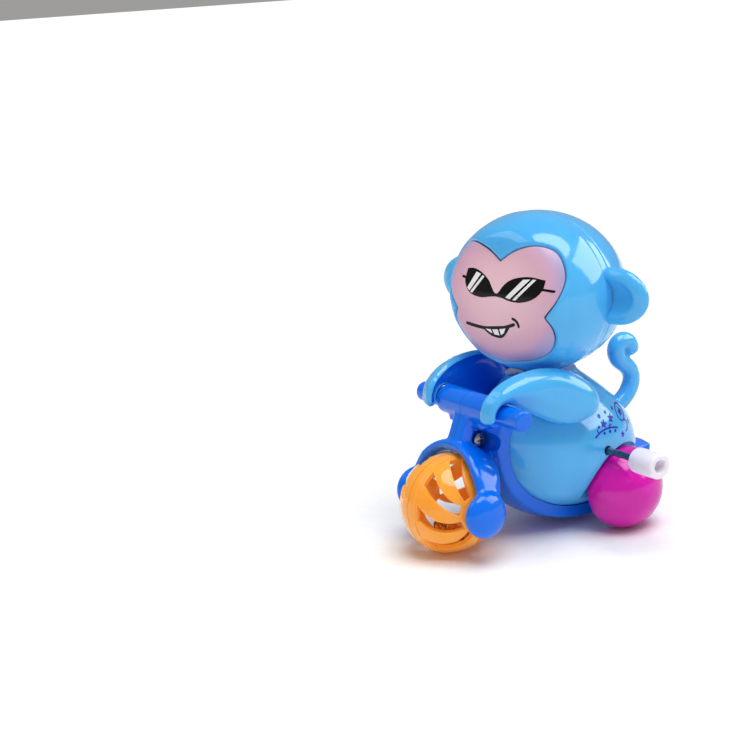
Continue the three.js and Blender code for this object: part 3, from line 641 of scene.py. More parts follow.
def face_plate():
    outline = inset(heart, FACE_SLIT)
    middle = Vector((0, 0, -1.0))
    rings = 28
    bm = bmesh.new()
    first = [Vector((p.x, 0, p.y)) for p in outline]
    verts = [bm.verts.new(p) for p in first]
    edges = [bm.edges.new((verts[i - 1], verts[i])) for i in range(len(verts))]
    for ring in range(1, rings + 1):
        grown = bmesh.ops.extrude_edge_only(bm, edges=edges)["geom"]
        edges = [e for e in grown if isinstance(e, bmesh.types.BMEdge)]
        fresh = [v for v in grown if isinstance(v, bmesh.types.BMVert)]
        step = (rings - ring) / (rings - ring + 1)
        for vert in fresh:
            vert.co = middle + (vert.co - middle) * step
    bmesh.ops.remove_doubles(bm, verts=bm.verts, dist=1e-4)
    for vert in bm.verts:
        vert.co = head_skin(on_front(vert.co.x, vert.co.z), FACE_PROUD)
    bm = modified(facing(bm, Vector((0, -1, 0))), "SOLIDIFY", thickness=FACE_THICK, offset=-1)
    rounded(bm, 0.15, 2, 55)
    bmesh.ops.transform(bm, verts=bm.verts, matrix=ON_TOY)
    return bm


finished(face_plate(), "face_skin", face_pink, "head", ["face_plate"])

# %% [markdown]
# ## The printed face
# On the real toy the sunglasses and the grin are pad-printed. Each colour is modelled as a film a
# few hundredths of a millimetre thick that follows the skin, so its edge stays crisp at any distance.
# Strokes are ribbons with round ends that are drawn along a short line.

# %% Draw with ink on the head
FILM = 0.03


def stroke(points, width):
    line = smooth_line(points, 8)
    left, right = [], []
    for i, point in enumerate(line):
        along = (line[min(i + 1, len(line) - 1)] - line[max(i - 1, 0)]).normalized()
        side = Vector((-along.y, along.x)) * width / 2
        left.append(point + side)
        right.append(point - side)

    def cap(point, start):
        return [point + Vector((math.cos(start - a), math.sin(start - a))) * width / 2
                for a in (math.pi * k / 6 for k in range(1, 6))]

    end_angle = math.atan2(*(left[-1] - line[-1]).yx)
    start_angle = math.atan2(*(right[0] - line[0]).yx)
    return [*left, *cap(line[-1], end_angle), *reversed(right), *cap(line[0], start_angle)]


def flat_film(outline, longest):
    """The outline filled with triangles no longer than a limit, in the X and Y of the bmesh."""
    bm = bmesh.new()
    face = bm.faces.new([bm.verts.new((p[0], p[1], 0)) for p in outline])
    bmesh.ops.triangulate(bm, faces=[face])
    for _ in range(6):
        long_edges = [e for e in bm.edges if e.calc_length() > longest]
        if not long_edges:
            break
        bmesh.ops.subdivide_edges(bm, edges=long_edges, cuts=1)
        bmesh.ops.triangulate(bm, faces=bm.faces)
    return bm


def print_on_face(outlines, name, material, layer):
    films = []
    for outline in outlines:
        bm = flat_film(outline, 1.1)
        for vert in bm.verts:
            vert.co = head_skin(on_front(vert.co.x, vert.co.y), FACE_PROUD + layer)
        films.append(modified(facing(bm, Vector((0, -1, 0))), "SOLIDIFY", thickness=FILM, offset=-1))
    bm = together(*films)
    bmesh.ops.transform(bm, verts=bm.verts, matrix=ON_TOY)
    return finished(bm, name, material, "head", sharp=60)


left_lens = [*smooth_line([(-0.7, 1.9), (0.4, 2.9), (2.2, 5.0), (4.7, 6.6), (8.0, 7.5), (12, 7.8),
                           (16.7, 7.2)], 5),
             *smooth_line([(16.7, 7.2), (16.2, 4.9), (14.6, 2.8), (11.8, 1.2), (8.1, 0.3), (4.4, 0.4),
                           (1.7, 1.1), (-0.5, 1.4)], 5)[1:]]
right_lens = [*smooth_line([(-1.2, 1.4), (-3.4, 1.1), (-6.6, 0.7), (-10.0, 1.3), (-12.0, 2.9),
                            (-12.9, 4.9), (-12.7, 6.6), (-12.1, 8.7)], 5),
              *smooth_line([(-12.1, 8.7), (-10.2, 8.9), (-8.3, 8.6), (-6.1, 7.6), (-3.8, 5.9),
                            (-2.4, 3.9), (-1.4, 2.6), (-0.4, 2.0)], 5)[1:]]
bridge = stroke([(-2.0, 1.75), (-0.6, 1.85), (0.8, 1.8)], 0.9)
temples = [stroke([(15.6, 4.6), (17.4, 4.45), (19.2, 4.15)], 0.7),
           stroke([(-12.4, 5.9), (-13.1, 6.1), (-13.9, 6.2)], 0.75)]
mouth = [stroke([(-12.7, -7.7), (-9.6, -8.1), (-5.9, -8.4), (-2.4, -8.3), (0.4, -8.0), (3.2, -7.2),
                 (5.5, -6.4)], 1.0),
         stroke([(5.2, -4.7), (6.2, -5.1), (6.9, -5.8), (7.3, -6.8)], 0.85)]
open_mouth = smooth_line([(4.2, -6.9), (3.0, -8.7), (1.6, -10.3), (0.1, -10.95), (-2.4, -10.75),
                          (-4.2, -10.1), (-5.6, -9.2), (-7.0, -8.1)], 4)
teeth = [[(-5.3, -8.62), (-3.35, -8.6), (-2.75, -9.75), (-3.7, -9.55)],
         [(-2.75, -8.55), (-0.65, -8.38), (-0.15, -10.15), (-2.05, -10.0)],
         [(0.0, -8.28), (2.3, -7.8), (1.55, -9.35), (0.45, -9.95)]]
glints = [[(9.0, 6.95), (11.6, 7.2), (4.5, 1.05), (2.9, 1.4)],
          [(12.5, 7.25), (13.7, 7.2), (6.6, 0.85), (5.5, 0.9)],
          [(-8.6, 7.95), (-6.9, 7.45), (-10.9, 2.3), (-11.9, 3.1)],
          [(-6.2, 7.1), (-5.5, 6.75), (-9.8, 1.75), (-10.6, 2.05)]]

# %% [markdown]
# Two layers are printed: black first, then the white glints and teeth.

# %% Print the face
print_on_face([left_lens, right_lens, bridge, *temples, *mouth, open_mouth], "print_black",
              black_ink, 0.04)
print_on_face([*glints, *teeth], "print_white", white_ink, 0.07)

# %% [markdown]
# ## The ears
# An ear is a thick disc with a shallow dish in its front. The dish leaves a round rim, as a thumb
# pressed into clay does. A ball with its pole forwards has its rings in the right places for that:
# each point of the front half takes whichever surface lies further back, blended softly.

# %% Build the ears
EAR = {"x": HEAD_HALF.x + 0.3, "z": 0.3, "half": Vector((11.6, 3.5, 8.3)), "rim": 3.0, "blend": 1.1}


def ear(side):
    half = EAR["half"]
    bm = egg(1, 1, 1, around=96, up=64, pole="Y")
    dish_x, dish_z = half.x - EAR["rim"], half.z - EAR["rim"]
    for vert in bm.verts:
        x, y, z = vert.co.x * half.x, vert.co.y * half.y, vert.co.z * half.z
        if vert.co.y < 0:
            reach = 1 - ((x + 0.5) / dish_x) ** 2 - (z / dish_z) ** 2
            dish = -half.y * (1 - math.sqrt(reach)) if reach > 0 else -half.y * (1 - reach * 0.6)
            y = (y + dish + math.sqrt((y - dish) ** 2 + EAR["blend"] ** 2)) / 2
        vert.co = Vector((x + EAR["x"], y + SEAM_Y, z + EAR["z"]))
    for _ in range(4):
        bmesh.ops.smooth_vert(bm, verts=bm.verts, factor=0.5, use_axis_x=True, use_axis_y=True,
                              use_axis_z=True)
    if side < 0:
        mirrored(bm)
    bmesh.ops.transform(bm, verts=bm.verts, matrix=ON_TOY)
    return face_out(bm)


finished(ear(1), "left_ear", sky, "head", ["ear_left"], sharp=60)
finished(ear(-1), "right_ear", sky, "head", ["ear_right"], sharp=60)

# %% [markdown]
# ## The belly
# The belly is a pear that leans back. One profile and one bend make it at any size, so the same
# function gives the skin, the hollow inside and the room that the frame leaves around it.

# %% The pear
PEAR = {"z": 24, "radius": 25.6, "wide": 0.81, "below": 19.2, "above": 23.7, "neck": 11.2,
        "y": 14.5, "lean": -0.19, "wall": 1.5, "swell": 2.5, "taper": 1.4}


def pear_radius(z, grow=0.0):
    if z < PEAR["z"]:
        drop = (PEAR["z"] - z) / (PEAR["below"] + grow)
        return (PEAR["radius"] + grow) * math.sqrt(max(0.0, 1 - drop * drop))
    rise = min(1.0, (z - PEAR["z"]) / (PEAR["above"] + grow))
    return (PEAR["neck"] + grow
            + (PEAR["radius"] - PEAR["neck"]) * (1 - rise ** PEAR["swell"]) ** PEAR["taper"])


def pear_middle(z):
    return PEAR["y"] + PEAR["lean"] * (z - PEAR["z"])


def pear(grow=0.0, steps=96, around=128):
    low, high = PEAR["z"] - PEAR["below"] - grow, PEAR["z"] + PEAR["above"] + grow
    middle = low + (high - low) * (1 - math.cos(math.pi / 4))
    profile = [(0, low)]
    for step in range(1, steps + 1):
        share = step / steps
        if share < 0.5:
            z = low + (high - low) * (1 - math.cos(math.pi * share / 2))
        else:
            z = middle + (high - middle) * (share - 0.5) * 2
        profile.append((max(0.02, pear_radius(z, grow)), z))
    profile.append((0, high))
    bm = turned(profile, "Z", around)
    for vert in bm.verts:
        vert.co.x *= PEAR["wide"]
        vert.co.y += pear_middle(vert.co.z)
    return bm


def on_belly(y, z, grow=0.0):
    """The point of the belly's left side behind a side-view point."""
    radius = pear_radius(z, grow)
    return PEAR["wide"] * math.sqrt(max(0.0, radius ** 2 - (y - pear_middle(z)) ** 2))


# %% [markdown]
# The two half shells are cut from the pear: first the arches that the rear wheels need, then the
# hollow, the hole for the winding shaft and the bore for the rear axle. The last cut is the slit on
# the middle plane.

# %% Build the belly
WHEEL = {"radius": 12.3, "inner": 14.8, "width": 14.4, "face": 9.4, "rim": 3.4}
ARCH_CLEAR, ARCH_GAP = 1.1, 0.9
KEY_SHAFT, KEY_CLEAR = 1.0, 0.45
AXLE_BORE = 1.6


def arch(side, grow):
    start = WHEEL["inner"] - ARCH_GAP - grow
    radius = WHEEL["radius"] + ARCH_CLEAR + grow
    bm = rod(radius, start, start + 40, rear_axle.y, rear_axle.z, 96)
    return mirrored(bm) if side < 0 else bm


def belly():
    skin = pear()
    hollow = pear(-PEAR["wall"], 48, 64)
    for side in (1, -1):
        skin = carved(skin, arch(side, 0))
        hollow = carved(hollow, arch(side, PEAR["wall"]))
    rounded(skin, 0.35, 3, 42)
    shell = carved(skin, hollow)
    shell = carved(shell, rod(KEY_SHAFT + KEY_CLEAR, 0, 40, key_axis.y, key_axis.z, 32))
    return carved(shell, rod(AXLE_BORE, -40, 40, rear_axle.y, rear_axle.z, 32))


whole_belly = belly()
left_belly = half_of(whole_belly.copy(), 1)
right_belly = half_of(whole_belly, -1)
for half, name, node in ((left_belly, "belly_left", "body_shell_left"),
                         (right_belly, "belly_right", "body_shell_right")):
    finished(half, name, sky, "tricycle", [node])

# %% [markdown]
# ## The tail
# A tail is a tube along a drawn curve, with a ball at its tip. One ring is set down again and again
# along the curve and bridged to the one before it, and then tube and ball are melted into one.

# %% Build the tail
TAIL_RADIUS, TAIL_TIP = 2.7, 2.8
tail_points = [(36.2, 29.6), (39.7, 31.5), (42.9, 34.0), (44.7, 37.2), (44.6, 40.4), (42.6, 43.0),
               (40.0, 45.2), (39.0, 47.9), (39.9, 50.0), (41.9, 50.8), (43.9, 50.0), (44.7, 48.4)]


def tube(points, radius, sides=24):
    """A closed tube through the points, made by sweeping one ring along them."""
    bm = bmesh.new()
    ring = None
    for i, point in enumerate(points):
        along = (points[min(i + 1, len(points) - 1)] - points[max(i - 1, 0)]).normalized()
        turn = along.to_track_quat("Z", "X").to_matrix().to_4x4()
        made = bmesh.ops.create_circle(bm, cap_ends=i in (0, len(points) - 1), segments=sides,
                                       radius=radius, matrix=Matrix.Translation(point) @ turn)
        touching = {edge for v in made["verts"] for edge in v.link_edges}
        fresh = [e for e in touching if all(v in made["verts"] for v in e.verts)]
        if ring:
            bmesh.ops.bridge_loops(bm, edges=ring + fresh)
        ring = fresh
    return face_out(bm)


def tail():
    line = [Vector((0, p.x, p.y)) for p in smooth_line(tail_points, 6)]
    tip = egg(TAIL_TIP, TAIL_TIP, TAIL_TIP, 0, line[-1].y, line[-1].z, 32, 16)
    return softened(together(tube(line, TAIL_RADIUS), tip), 0.3, 6)


finished(tail(), "tail_skin", sky, "tricycle", ["tail"], sharp=60)

# %% [markdown]
# ## The arms
# From the side an arm is a soft drop with a finger that hooks over the handlebar. It is a hollow
# half-shell: from the inside you see a light blue rim around a royal blue plate. The solid is melted
# first, so its edges roll over like a cushion, and only then hollowed out.

# %% The arm's outline
ARM = {"inner": 12.8, "thick": 6.2, "toe_in": 0.13, "swell": 0.016, "wall": 1.1, "plate": 1.6,
       "plate_set": 0.9, "finger": 1.75, "tip_drop": 0.15}
BAR = {"y": -15.3, "z": 41.65, "thick": 4.3, "thick_end": 12.5, "thin": 3.05, "end": 24.9}
GRIP = BAR["thin"] + 0.3


def arm_outline():
    tip_y, tip_z = BAR["y"] - GRIP - ARM["finger"], BAR["z"] - ARM["tip_drop"]
    outside = smooth_line([(tip_y - ARM["finger"], tip_z), (-21.9, 43.9), (-20.1, 47.3), (-16.2, 50.3),
                           (-11, 52.4), (-4, 53.2), (3, 52.3), (9.2, 49.4), (13.3, 45), (14.2, 40.8),
                           (12.2, 37.4), (7.5, 35.6), (2, 36), (-4, 39), (-9, 42.2), (-12.3, 43.9)], 4)
    hook = arc((BAR["y"], BAR["z"]), GRIP, 50, 180, 14)
    fingertip = arc((tip_y, tip_z), ARM["finger"], 0, -180, 8)[:-1]
    points = [(p.x, p.y) for p in outside] + hook + fingertip
    return list(reversed(points))


def arm_bend(bm):
    for vert in bm.verts:
        back, depth = vert.co.y - BAR["y"], vert.co.x - ARM["inner"]
        vert.co.x = ARM["inner"] + depth * (1 + ARM["swell"] * back) + ARM["toe_in"] * back
    return bm


# %% [markdown]
# The arm is a pillow: its skin rises from the outline like a quarter circle and levels off further
# in. The height depends on the distance to the outline, and the roll is tighter at the hand than at
# the shoulder, so that the slender finger still gets its full thickness.

# %% Build the arms
HAND = {"end": -20, "blend": 14, "roll": 0.4}
PILLOW = {"middle": 1.6, "inner_round": 1.8, "outer_round": 5.5, "longest": 1.2}


def pillow(outline, middle, inner, outer, inner_round, outer_round):
    bm = bmesh.new()
    face = bm.faces.new([bm.verts.new((y, z, 0)) for y, z in outline])
    for ring in (0.08, 0.2, 0.35, 0.5):
        bmesh.ops.inset_region(bm, faces=[face], thickness=ring, use_even_offset=True)
    bmesh.ops.triangulate(bm, faces=[face])
    for _ in range(5):
        long_edges = [e for e in bm.edges if e.calc_length() > PILLOW["longest"]]
        bmesh.ops.subdivide_edges(bm, edges=long_edges, cuts=1)
        bmesh.ops.triangulate(bm, faces=bm.faces)
    to_edge = distance_to(outline)
    back = bm.faces[:]
    front = bmesh.ops.duplicate(bm, geom=bm.faces[:] + bm.edges[:] + bm.verts[:])["geom"]
    raised = {v for v in front if isinstance(v, bmesh.types.BMVert)}
    bmesh.ops.reverse_faces(bm, faces=back)
    for vert in bm.verts:
        y, z, _ = vert.co
        edge = to_edge(Vector((y, z)))
        to_shoulder = min(1, max(0, (y - HAND["end"]) / HAND["blend"]))
        roll = outer_round * (HAND["roll"] + (1 - HAND["roll"]) * to_shoulder ** 2 * (3 - 2 * to_shoulder))
        height = outer * dome(edge / roll) if vert in raised else -inner * dome(edge / inner_round)
        vert.co = Vector((middle + height, y, z))
    bmesh.ops.remove_doubles(bm, verts=bm.verts, dist=1e-3)
    return face_out(bm)


def arm_solid():
    middle = PILLOW["middle"]
    bm = pillow(arm_outline(), ARM["inner"] + middle, middle, ARM["thick"] - middle,
                PILLOW["inner_round"], PILLOW["outer_round"])
    return softened(arm_bend(bm), 0.32, 4)


def arm_shell():
    outline = arm_outline()
    pocket = side_plate(inset(outline, ARM["wall"]), ARM["inner"] - 2,
                        ARM["inner"] + ARM["plate_set"] + ARM["plate"])
    bm = carved(arm_solid(), arm_bend(pocket))
    bm = carved(bm, pear(0.15))
    bm = carved(bm, rod(GRIP, 0, 40, BAR["y"], BAR["z"], 64))
    bm = carved(bm, rod(BAR["thick"] + 0.3, 0, BAR["thick_end"] + 0.3, BAR["y"], BAR["z"], 64))
    return bm


def arm_plate():
    start = ARM["inner"] + ARM["plate_set"]
    bm = side_plate(inset(arm_outline(), ARM["wall"] + 0.1), start, start + ARM["plate"] - 0.1)
    rounded(bm, 0.2, 2, 60)
    return carved(arm_bend(bm), pear(0.2))


left_arm, left_plate = arm_shell(), arm_plate()
finished(mirrored(left_arm.copy()), "right_arm", sky, "tricycle", ["arm_shell_right"])
finished(left_arm, "left_arm", sky, "tricycle", ["arm_shell_left"])
finished(mirrored(left_plate.copy()), "right_arm_plate", royal, "tricycle", ["arm_backing_right"])
finished(left_plate, "left_arm_plate", royal, "tricycle", ["arm_backing_left"])

# %% [markdown]
# ## The tricycle frame
# One frame carries everything: the handlebar, the stem with its recessed web, a fork that straddles
# the ball, and a cradle that hugs the belly. The blocks are set out overlapping and melted into one
# moulding, and then the room for the belly and the ball is cut with clean surfaces.

# %% The frame's blocks
FRAME = {"stem_half": 3.3, "web_half": 1.2, "cradle_half": 9, "cradle_wall": 3.4, "cradle_top": 37.4,
         "tongue_top": 19.4, "tongue_wall": 5.4, "tongue_front": 35, "ball_gap": 1.1,
         "fork_thick": 3.6, "fork_half": 4.6, "fork_back": 0.9, "fork_tilt": 17.8, "fork_reach": 86,
         "slit": 0.06}
TAPER = {"top": 1.14, "loss": 0.42, "from": 0.55}
BULB = {"x": 17.5, "y": -24.9, "z": 14.9, "half": Vector((3.3, 6.9, 6.8))}
BALL_RADIUS = 14.3
CLEAR_BALL = BALL_RADIUS + FRAME["ball_gap"]


def handlebar():
    thick = rod(BAR["thick"], -BAR["thick_end"], BAR["thick_end"], BAR["y"], BAR["z"], 96, 0.5)
    thin = rod(BAR["thin"], -BAR["end"], BAR["end"], BAR["y"], BAR["z"], 96, 0.5)
    return together(thick, thin)


def stem():
    lower = arc((front_axle.y, front_axle.z), CLEAR_BALL, 83, 83, 1)[0]
    front = [(BAR["y"] - 2.7, BAR["z"] + 2), (lower[0] - 0.6, lower[1]),
             (lower[0] + 3.8, lower[1] - 1), (BAR["y"] + 1.2, BAR["z"])]
    web = [(BAR["y"] + 3, BAR["z"]), (BAR["y"] - 2, BAR["z"]),
           *arc((front_axle.y, front_axle.z), CLEAR_BALL, 83, 2, 16), (-5, front_axle.z - 1),
           (-4, BAR["z"] - 6)]
    shelf = [(BAR["y"] - 3, BAR["z"] - 5.2), (BAR["y"] + 9, BAR["z"] - 5.2),
             (BAR["y"] + 9, BAR["z"] - 3.4), (BAR["y"] - 3, BAR["z"] - 3.4)]
    return together(side_plate(front, -FRAME["stem_half"], FRAME["stem_half"]),
                    side_plate(web, -FRAME["web_half"], FRAME["web_half"]),
                    side_plate(shelf, 1 - FRAME["cradle_half"], FRAME["cradle_half"] - 1))


def cradle():
    wrap = pear(0.3 + FRAME["cradle_wall"], 64, 96)
    side = [(-30, -10), (60, -10), (60, FRAME["tongue_top"]), (20, FRAME["tongue_top"]),
            (2, FRAME["cradle_top"]), (-30, FRAME["cradle_top"])]
    half = FRAME["cradle_half"]
    front, top = FRAME["tongue_front"], FRAME["tongue_top"]
    behind = side_plate([(front, -10), (60, -10), (60, top), (front, top)], -half, half)
    lug = carved(pear(0.3 + FRAME["tongue_wall"], 64, 96), behind, "INTERSECT")
    return together(carved(wrap, side_plate(side, -half, half), "INTERSECT"), lug)


# %% [markdown]
# Each fork arm is a strap swept round the ball. Its section is a rounded bar, and the sweep is a spin
# about a cross axis that leans forwards, so the strap lies on the tilted plane of the fork. It gets
# narrower on its way down and melts into a bulb that covers the ball's pin.

# %% The fork
def fork():
    middle = CLEAR_BALL + FRAME["fork_thick"] / 2 - 0.3
    bm = bmesh.new()
    ring = bmesh.ops.create_circle(bm, cap_ends=False, segments=40, radius=1)
    for vert in ring["verts"]:
        squareness = 2.6
        x, y = vert.co.x, vert.co.y
        spread = (abs(x) ** squareness + abs(y) ** squareness) ** (-1 / squareness)
        vert.co = Vector((0, y * spread * FRAME["fork_half"] + FRAME["fork_back"],
                          middle + x * spread * FRAME["fork_thick"] / 2))
    reach = FRAME["fork_reach"]
    tilted(bm, -reach, "Y")
    bmesh.ops.spin(bm, geom=bm.verts[:] + bm.edges[:], cent=(0, 0, 0), axis=(0, 1, 0),
                   angle=math.radians(2 * reach), steps=90)
    bmesh.ops.holes_fill(bm, edges=bm.edges[:], sides=0)
    for vert in bm.verts:
        down = math.atan2(abs(vert.co.x), vert.co.z) / math.radians(reach)
        wide = TAPER["top"] - TAPER["loss"] * max(0, down - TAPER["from"]) / (1 - TAPER["from"])
        vert.co.y = FRAME["fork_back"] + (vert.co.y - FRAME["fork_back"]) * wide
    tilted(bm, -FRAME["fork_tilt"], "X")
    strap = face_out(moved(bm, 0, front_axle.y, front_axle.z))
    half = BULB["half"]
    bulbs = [egg(half.x, half.y, half.z, side * BULB["x"], BULB["y"], BULB["z"], 64, 32)
             for side in (1, -1)]
    return softened(together(strap, *bulbs), 0.42, 14)


# %% [markdown]
# Melting, cutting and splitting the frame. The slit on the middle plane stays visible on the bar and
# the stem, as it does wherever two mouldings are screwed together.

# %% Build the frame
SCREWS = {"stem_screw": (-15.2, 31.9, FRAME["web_half"] + 0.3),
          "tongue_screw": (41.2, 13.6, FRAME["cradle_half"] - 3)}


def whole_frame():
    bm = softened(together(stem(), cradle(), fork(), handlebar()), 0.42, 5)
    bm = carved(bm, pear(0.3))
    bm = carved(bm, egg(CLEAR_BALL, CLEAR_BALL, CLEAR_BALL, 0, front_axle.y, front_axle.z, 96, 48))
    for y, z, _ in SCREWS.values():
        bm = carved(bm, rod(1.4, -20, 20, y, z, 32))
    return bm


frame_solid = whole_frame()
left_frame = half_of(frame_solid.copy(), 1, FRAME["slit"])
right_frame = half_of(frame_solid, -1, FRAME["slit"])
for y, z, start in SCREWS.values():
    left_frame = carved(left_frame, rod(2.9, start, start + 15, y, z, 48))
finished(left_frame, "frame_left_half", royal, "tricycle", ["frame_left"])
finished(right_frame, "frame_right_half", royal, "tricycle", ["frame_right"])

# %% [markdown]
# ## The screws
# A pan-head screw is a turned profile with a cross cut into its head.

# %% Build the screws
def cross_screw(y, z, start):
    head, shank, reach, high = 2.4, 1.1, 3.4, 1.6
    seat = start + 0.3
    profile = [(0, -reach), (shank - 0.4, -reach), (shank, 0.6 - reach), (shank, seat), (head, seat),
               (head, seat + 0.35), (head * 0.86, seat + high * 0.75), (head * 0.5, seat + high * 0.96),
               (0, seat + high)]
    bm = turned(profile, "X", 48)
    for angle in (0, 90):
        blade = bmesh.new()
        bmesh.ops.create_cube(blade, size=1)
        bmesh.ops.scale(blade, verts=blade.verts, vec=(1.5, 0.55, 2.5))
        bm = carved(bm, moved(tilted(blade, angle, "X"), seat + high))
    return moved(bm, 0, y, z)


for screw_name, (y, z, start) in SCREWS.items():
    finished(cross_screw(y, z, start), screw_name + "_skin", steel, "tricycle", [screw_name],
             sharp=30)

# %% [markdown]
# ## The slotted ball
# The front wheel is a hollow ball of two equal halves. Each half has eight slots that slant as they
# run from the band to the pole. A slot's cutter is a subdivided box, bent onto the ball by a formula.
# Each half stays open on the middle plane, and the right one is turned by half a slot, so that you
# can see through the ball.

# %% Build the ball
BALL = {"wall": 1.4, "slots": 8, "wide": 4.9, "narrow": 2.8, "start": 3.6, "end": 13.2,
        "twist": -30, "phase": 4, "band": 2.9, "band_rise": 0.23, "pin": 1.2, "pin_reach": 2.4}


def slot_cutter(index):
    bm = bmesh.new()
    bmesh.ops.create_cube(bm, size=1, matrix=Matrix.Translation((0.5, 0, 0.5)))
    long_edges = [e for e in bm.edges if abs(e.verts[0].co.x - e.verts[1].co.x) > 0.5]
    bmesh.ops.subdivide_edges(bm, edges=long_edges, cuts=11, use_grid_fill=True)
    for vert in bm.verts:
        along, across, out = vert.co
        x = BALL["start"] + (BALL["end"] - BALL["start"]) * along
        ring = math.sqrt(BALL_RADIUS ** 2 - x * x)
        width = BALL["wide"] + (BALL["narrow"] - BALL["wide"]) * along
        centre = math.radians(BALL["phase"] + 360 * index / BALL["slots"] + BALL["twist"] * along)
        angle = centre + across * width / ring
        reach = 0.75 + 0.4 * out
        vert.co = Vector((x * reach, -ring * reach * math.cos(angle), ring * reach * math.sin(angle)))
    return face_out(bm)


def ball_half():
    outside = egg(BALL_RADIUS, BALL_RADIUS, BALL_RADIUS, around=128, up=64, pole="X")
    inner = BALL_RADIUS - BALL["wall"]
    band_radius = BALL_RADIUS + BALL["band_rise"]
    band = egg(band_radius, band_radius, band_radius, around=128, up=64, pole="X")
    band = carved(band, rod(30, -BALL["band"], BALL["band"], 0, 0, 8), "INTERSECT")
    outside = carved(outside, band, "UNION")
    slots = together(*[slot_cutter(i) for i in range(BALL["slots"])])
    outside = carved(outside, slots)
    rounded(outside, 0.28, 2, 45)
    shell = carved(outside, egg(inner, inner, inner, around=96, up=48, pole="X"))
    shell = carved(shell, rod(30, SLIT, 30, 0, 0, 64), "INTERSECT")
    pin = rod(BALL["pin"], inner - 0.2, BALL_RADIUS + BALL["pin_reach"], 0, 0, 32, 0.2)
    return carved(shell, pin, "UNION")


ball_left = ball_half()
ball_right = tilted(tilted(ball_left.copy(), 180, "Z"), 180 / BALL["slots"], "X")
finished(moved(ball_left, 0, front_axle.y, front_axle.z), "ball_left", orange, "front_ball",
         ["ball_half_left"])
finished(moved(ball_right, 0, front_axle.y, front_axle.z), "ball_right", orange, "front_ball",
         ["ball_half_right"])

# %% [markdown]
# ## The bells
# A jingle bell is two cups pressed together, so it has a raised waist, and one cup is sawn with a
# cross. Three of them lie in the ball, each turned differently.

# %% Build the bells
def jingle_bell(radius):
    waist = 0.22
    profile = [(0, waist - radius)]
    for step in range(1, 24):
        angle = math.pi * (step / 24 - 0.5)
        swell = waist * math.exp(-((angle / 0.12) ** 2))
        profile.append(((radius - waist + swell) * math.cos(angle), (radius - waist) * math.sin(angle)))
    profile.append((0, radius - waist))
    bm = turned(profile, "Z", 32)
    for turn in (0, 90):
        saw = bmesh.new()
        bmesh.ops.create_cube(saw, size=1)
        bmesh.ops.scale(saw, verts=saw.verts, vec=(radius * 1.6, 0.4, radius * 0.9))
        bm = carved(bm, moved(tilted(saw, turn, "Z"), 0, 0, radius * 0.75))
    return bm


for number in (1, 2, 3):
    low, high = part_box(f"bell_{number}")
    centre = ((low + high) / 2 - HOME) / MM
    bell = tilted(jingle_bell((high.x - low.x) / 2 / MM), 50 * number, "X")
    finished(moved(bell, *centre), f"jingle_bell_{number}", brass, f"bell_swing_{number}",
             [f"bell_{number}"], sharp=30)

# %% [markdown]
# ## The rear wheels
# Each rear wheel is a fat dome: flat inside, a tight shoulder, and then half an ellipse out to its
# middle. It is a turned shape, so a profile and a spin are all it needs.

# %% Build the rear wheels
def rear_wheel():
    rim_x, outer_x = WHEEL["inner"] + WHEEL["rim"], WHEEL["inner"] + WHEEL["width"]
    profile = [(0, WHEEL["inner"] + 0.6), (2.2, WHEEL["inner"] + 0.6), (2.6, WHEEL["inner"] + 0.05),
               (WHEEL["face"] - 0.8, WHEEL["inner"])]
    for step in range(9):
        angle = step / 8 * math.pi / 2
        profile.append((WHEEL["face"] + (WHEEL["radius"] - WHEEL["face"]) * math.sin(angle),
                        rim_x - WHEEL["rim"] * math.cos(angle)))
    for step in range(1, 33):
        angle = step / 32 * math.pi / 2
        profile.append((WHEEL["radius"] * math.cos(angle) if step < 32 else 0,
                        rim_x + (outer_x - rim_x) * math.sin(angle)))
    return moved(turned(profile, "X", 128), 0, rear_axle.y, rear_axle.z)


finished(mirrored(rear_wheel()), "rear_wheel_right", magenta, "rear_wheels", ["wheel_right"])
finished(rear_wheel(), "rear_wheel_left", magenta, "rear_wheels", ["wheel_left"])

# %% [markdown]
# ## The winding key
# The knob is a plain nylon cap with a blind hole in its end, pressed onto a steel shaft. Its edges
# are rounded, and the hole's bottom is a soft cone, as a core pin leaves it.

# %% Build the knob and the shaft
KNOB = {"radius": 3.7, "start": 33.1, "long": 9.7, "socket": 1.9, "deep": 3.6, "inset": 5}


def knob():
    start, end = KNOB["start"], KNOB["start"] + KNOB["long"]
    radius, hole = KNOB["radius"], KNOB["socket"]
    bottom = end - KNOB["deep"]
    profile = [(0, start), (radius - 0.9, start), (radius - 0.35, start + 0.15),
               (radius - 0.08, start + 0.5), (radius, start + 1.1), (radius, end - 0.7),
               (radius - 0.12, end - 0.3), (radius - 0.4, end - 0.06), (radius - 0.7, end),
               (hole + 0.35, end), (hole + 0.1, end - 0.1), (hole, end - 0.4),
               (hole - 0.1, bottom + 0.4), (hole - 0.4, bottom), (0, bottom - 0.3)]
    return moved(turned(profile, "X", 64), 0, key_axis.y, key_axis.z)


def shaft():
    start = (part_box("winding_shaft")[0].x - HOME.x) / MM
    return rod(KEY_SHAFT, start, KNOB["start"] + KNOB["inset"], key_axis.y, key_axis.z, 48, 0.2)


finished(knob(), "knob", nylon, "winder", ["winding_knob"])
finished(shaft(), "winder_shaft", dark_steel, "winder", ["winding_shaft"])

# %% [markdown]
# ## The print on the flank
# A little violet print decorates the left flank: stars, dots, flowers, a ring and a leafy curl. It
# is drawn in the side view and laid on the belly as a thin film, like the face.

# %% Draw on the flank
def spread(y, z, steps, radius_at):
    """A closed outline round a point, whose radius depends on the step and the angle."""
    outline = []
    for k in range(steps):
        angle = 2 * math.pi * k / steps
        radius = radius_at(k, angle)
        outline.append((y + radius * math.cos(angle), z + radius * math.sin(angle)))
    return outline


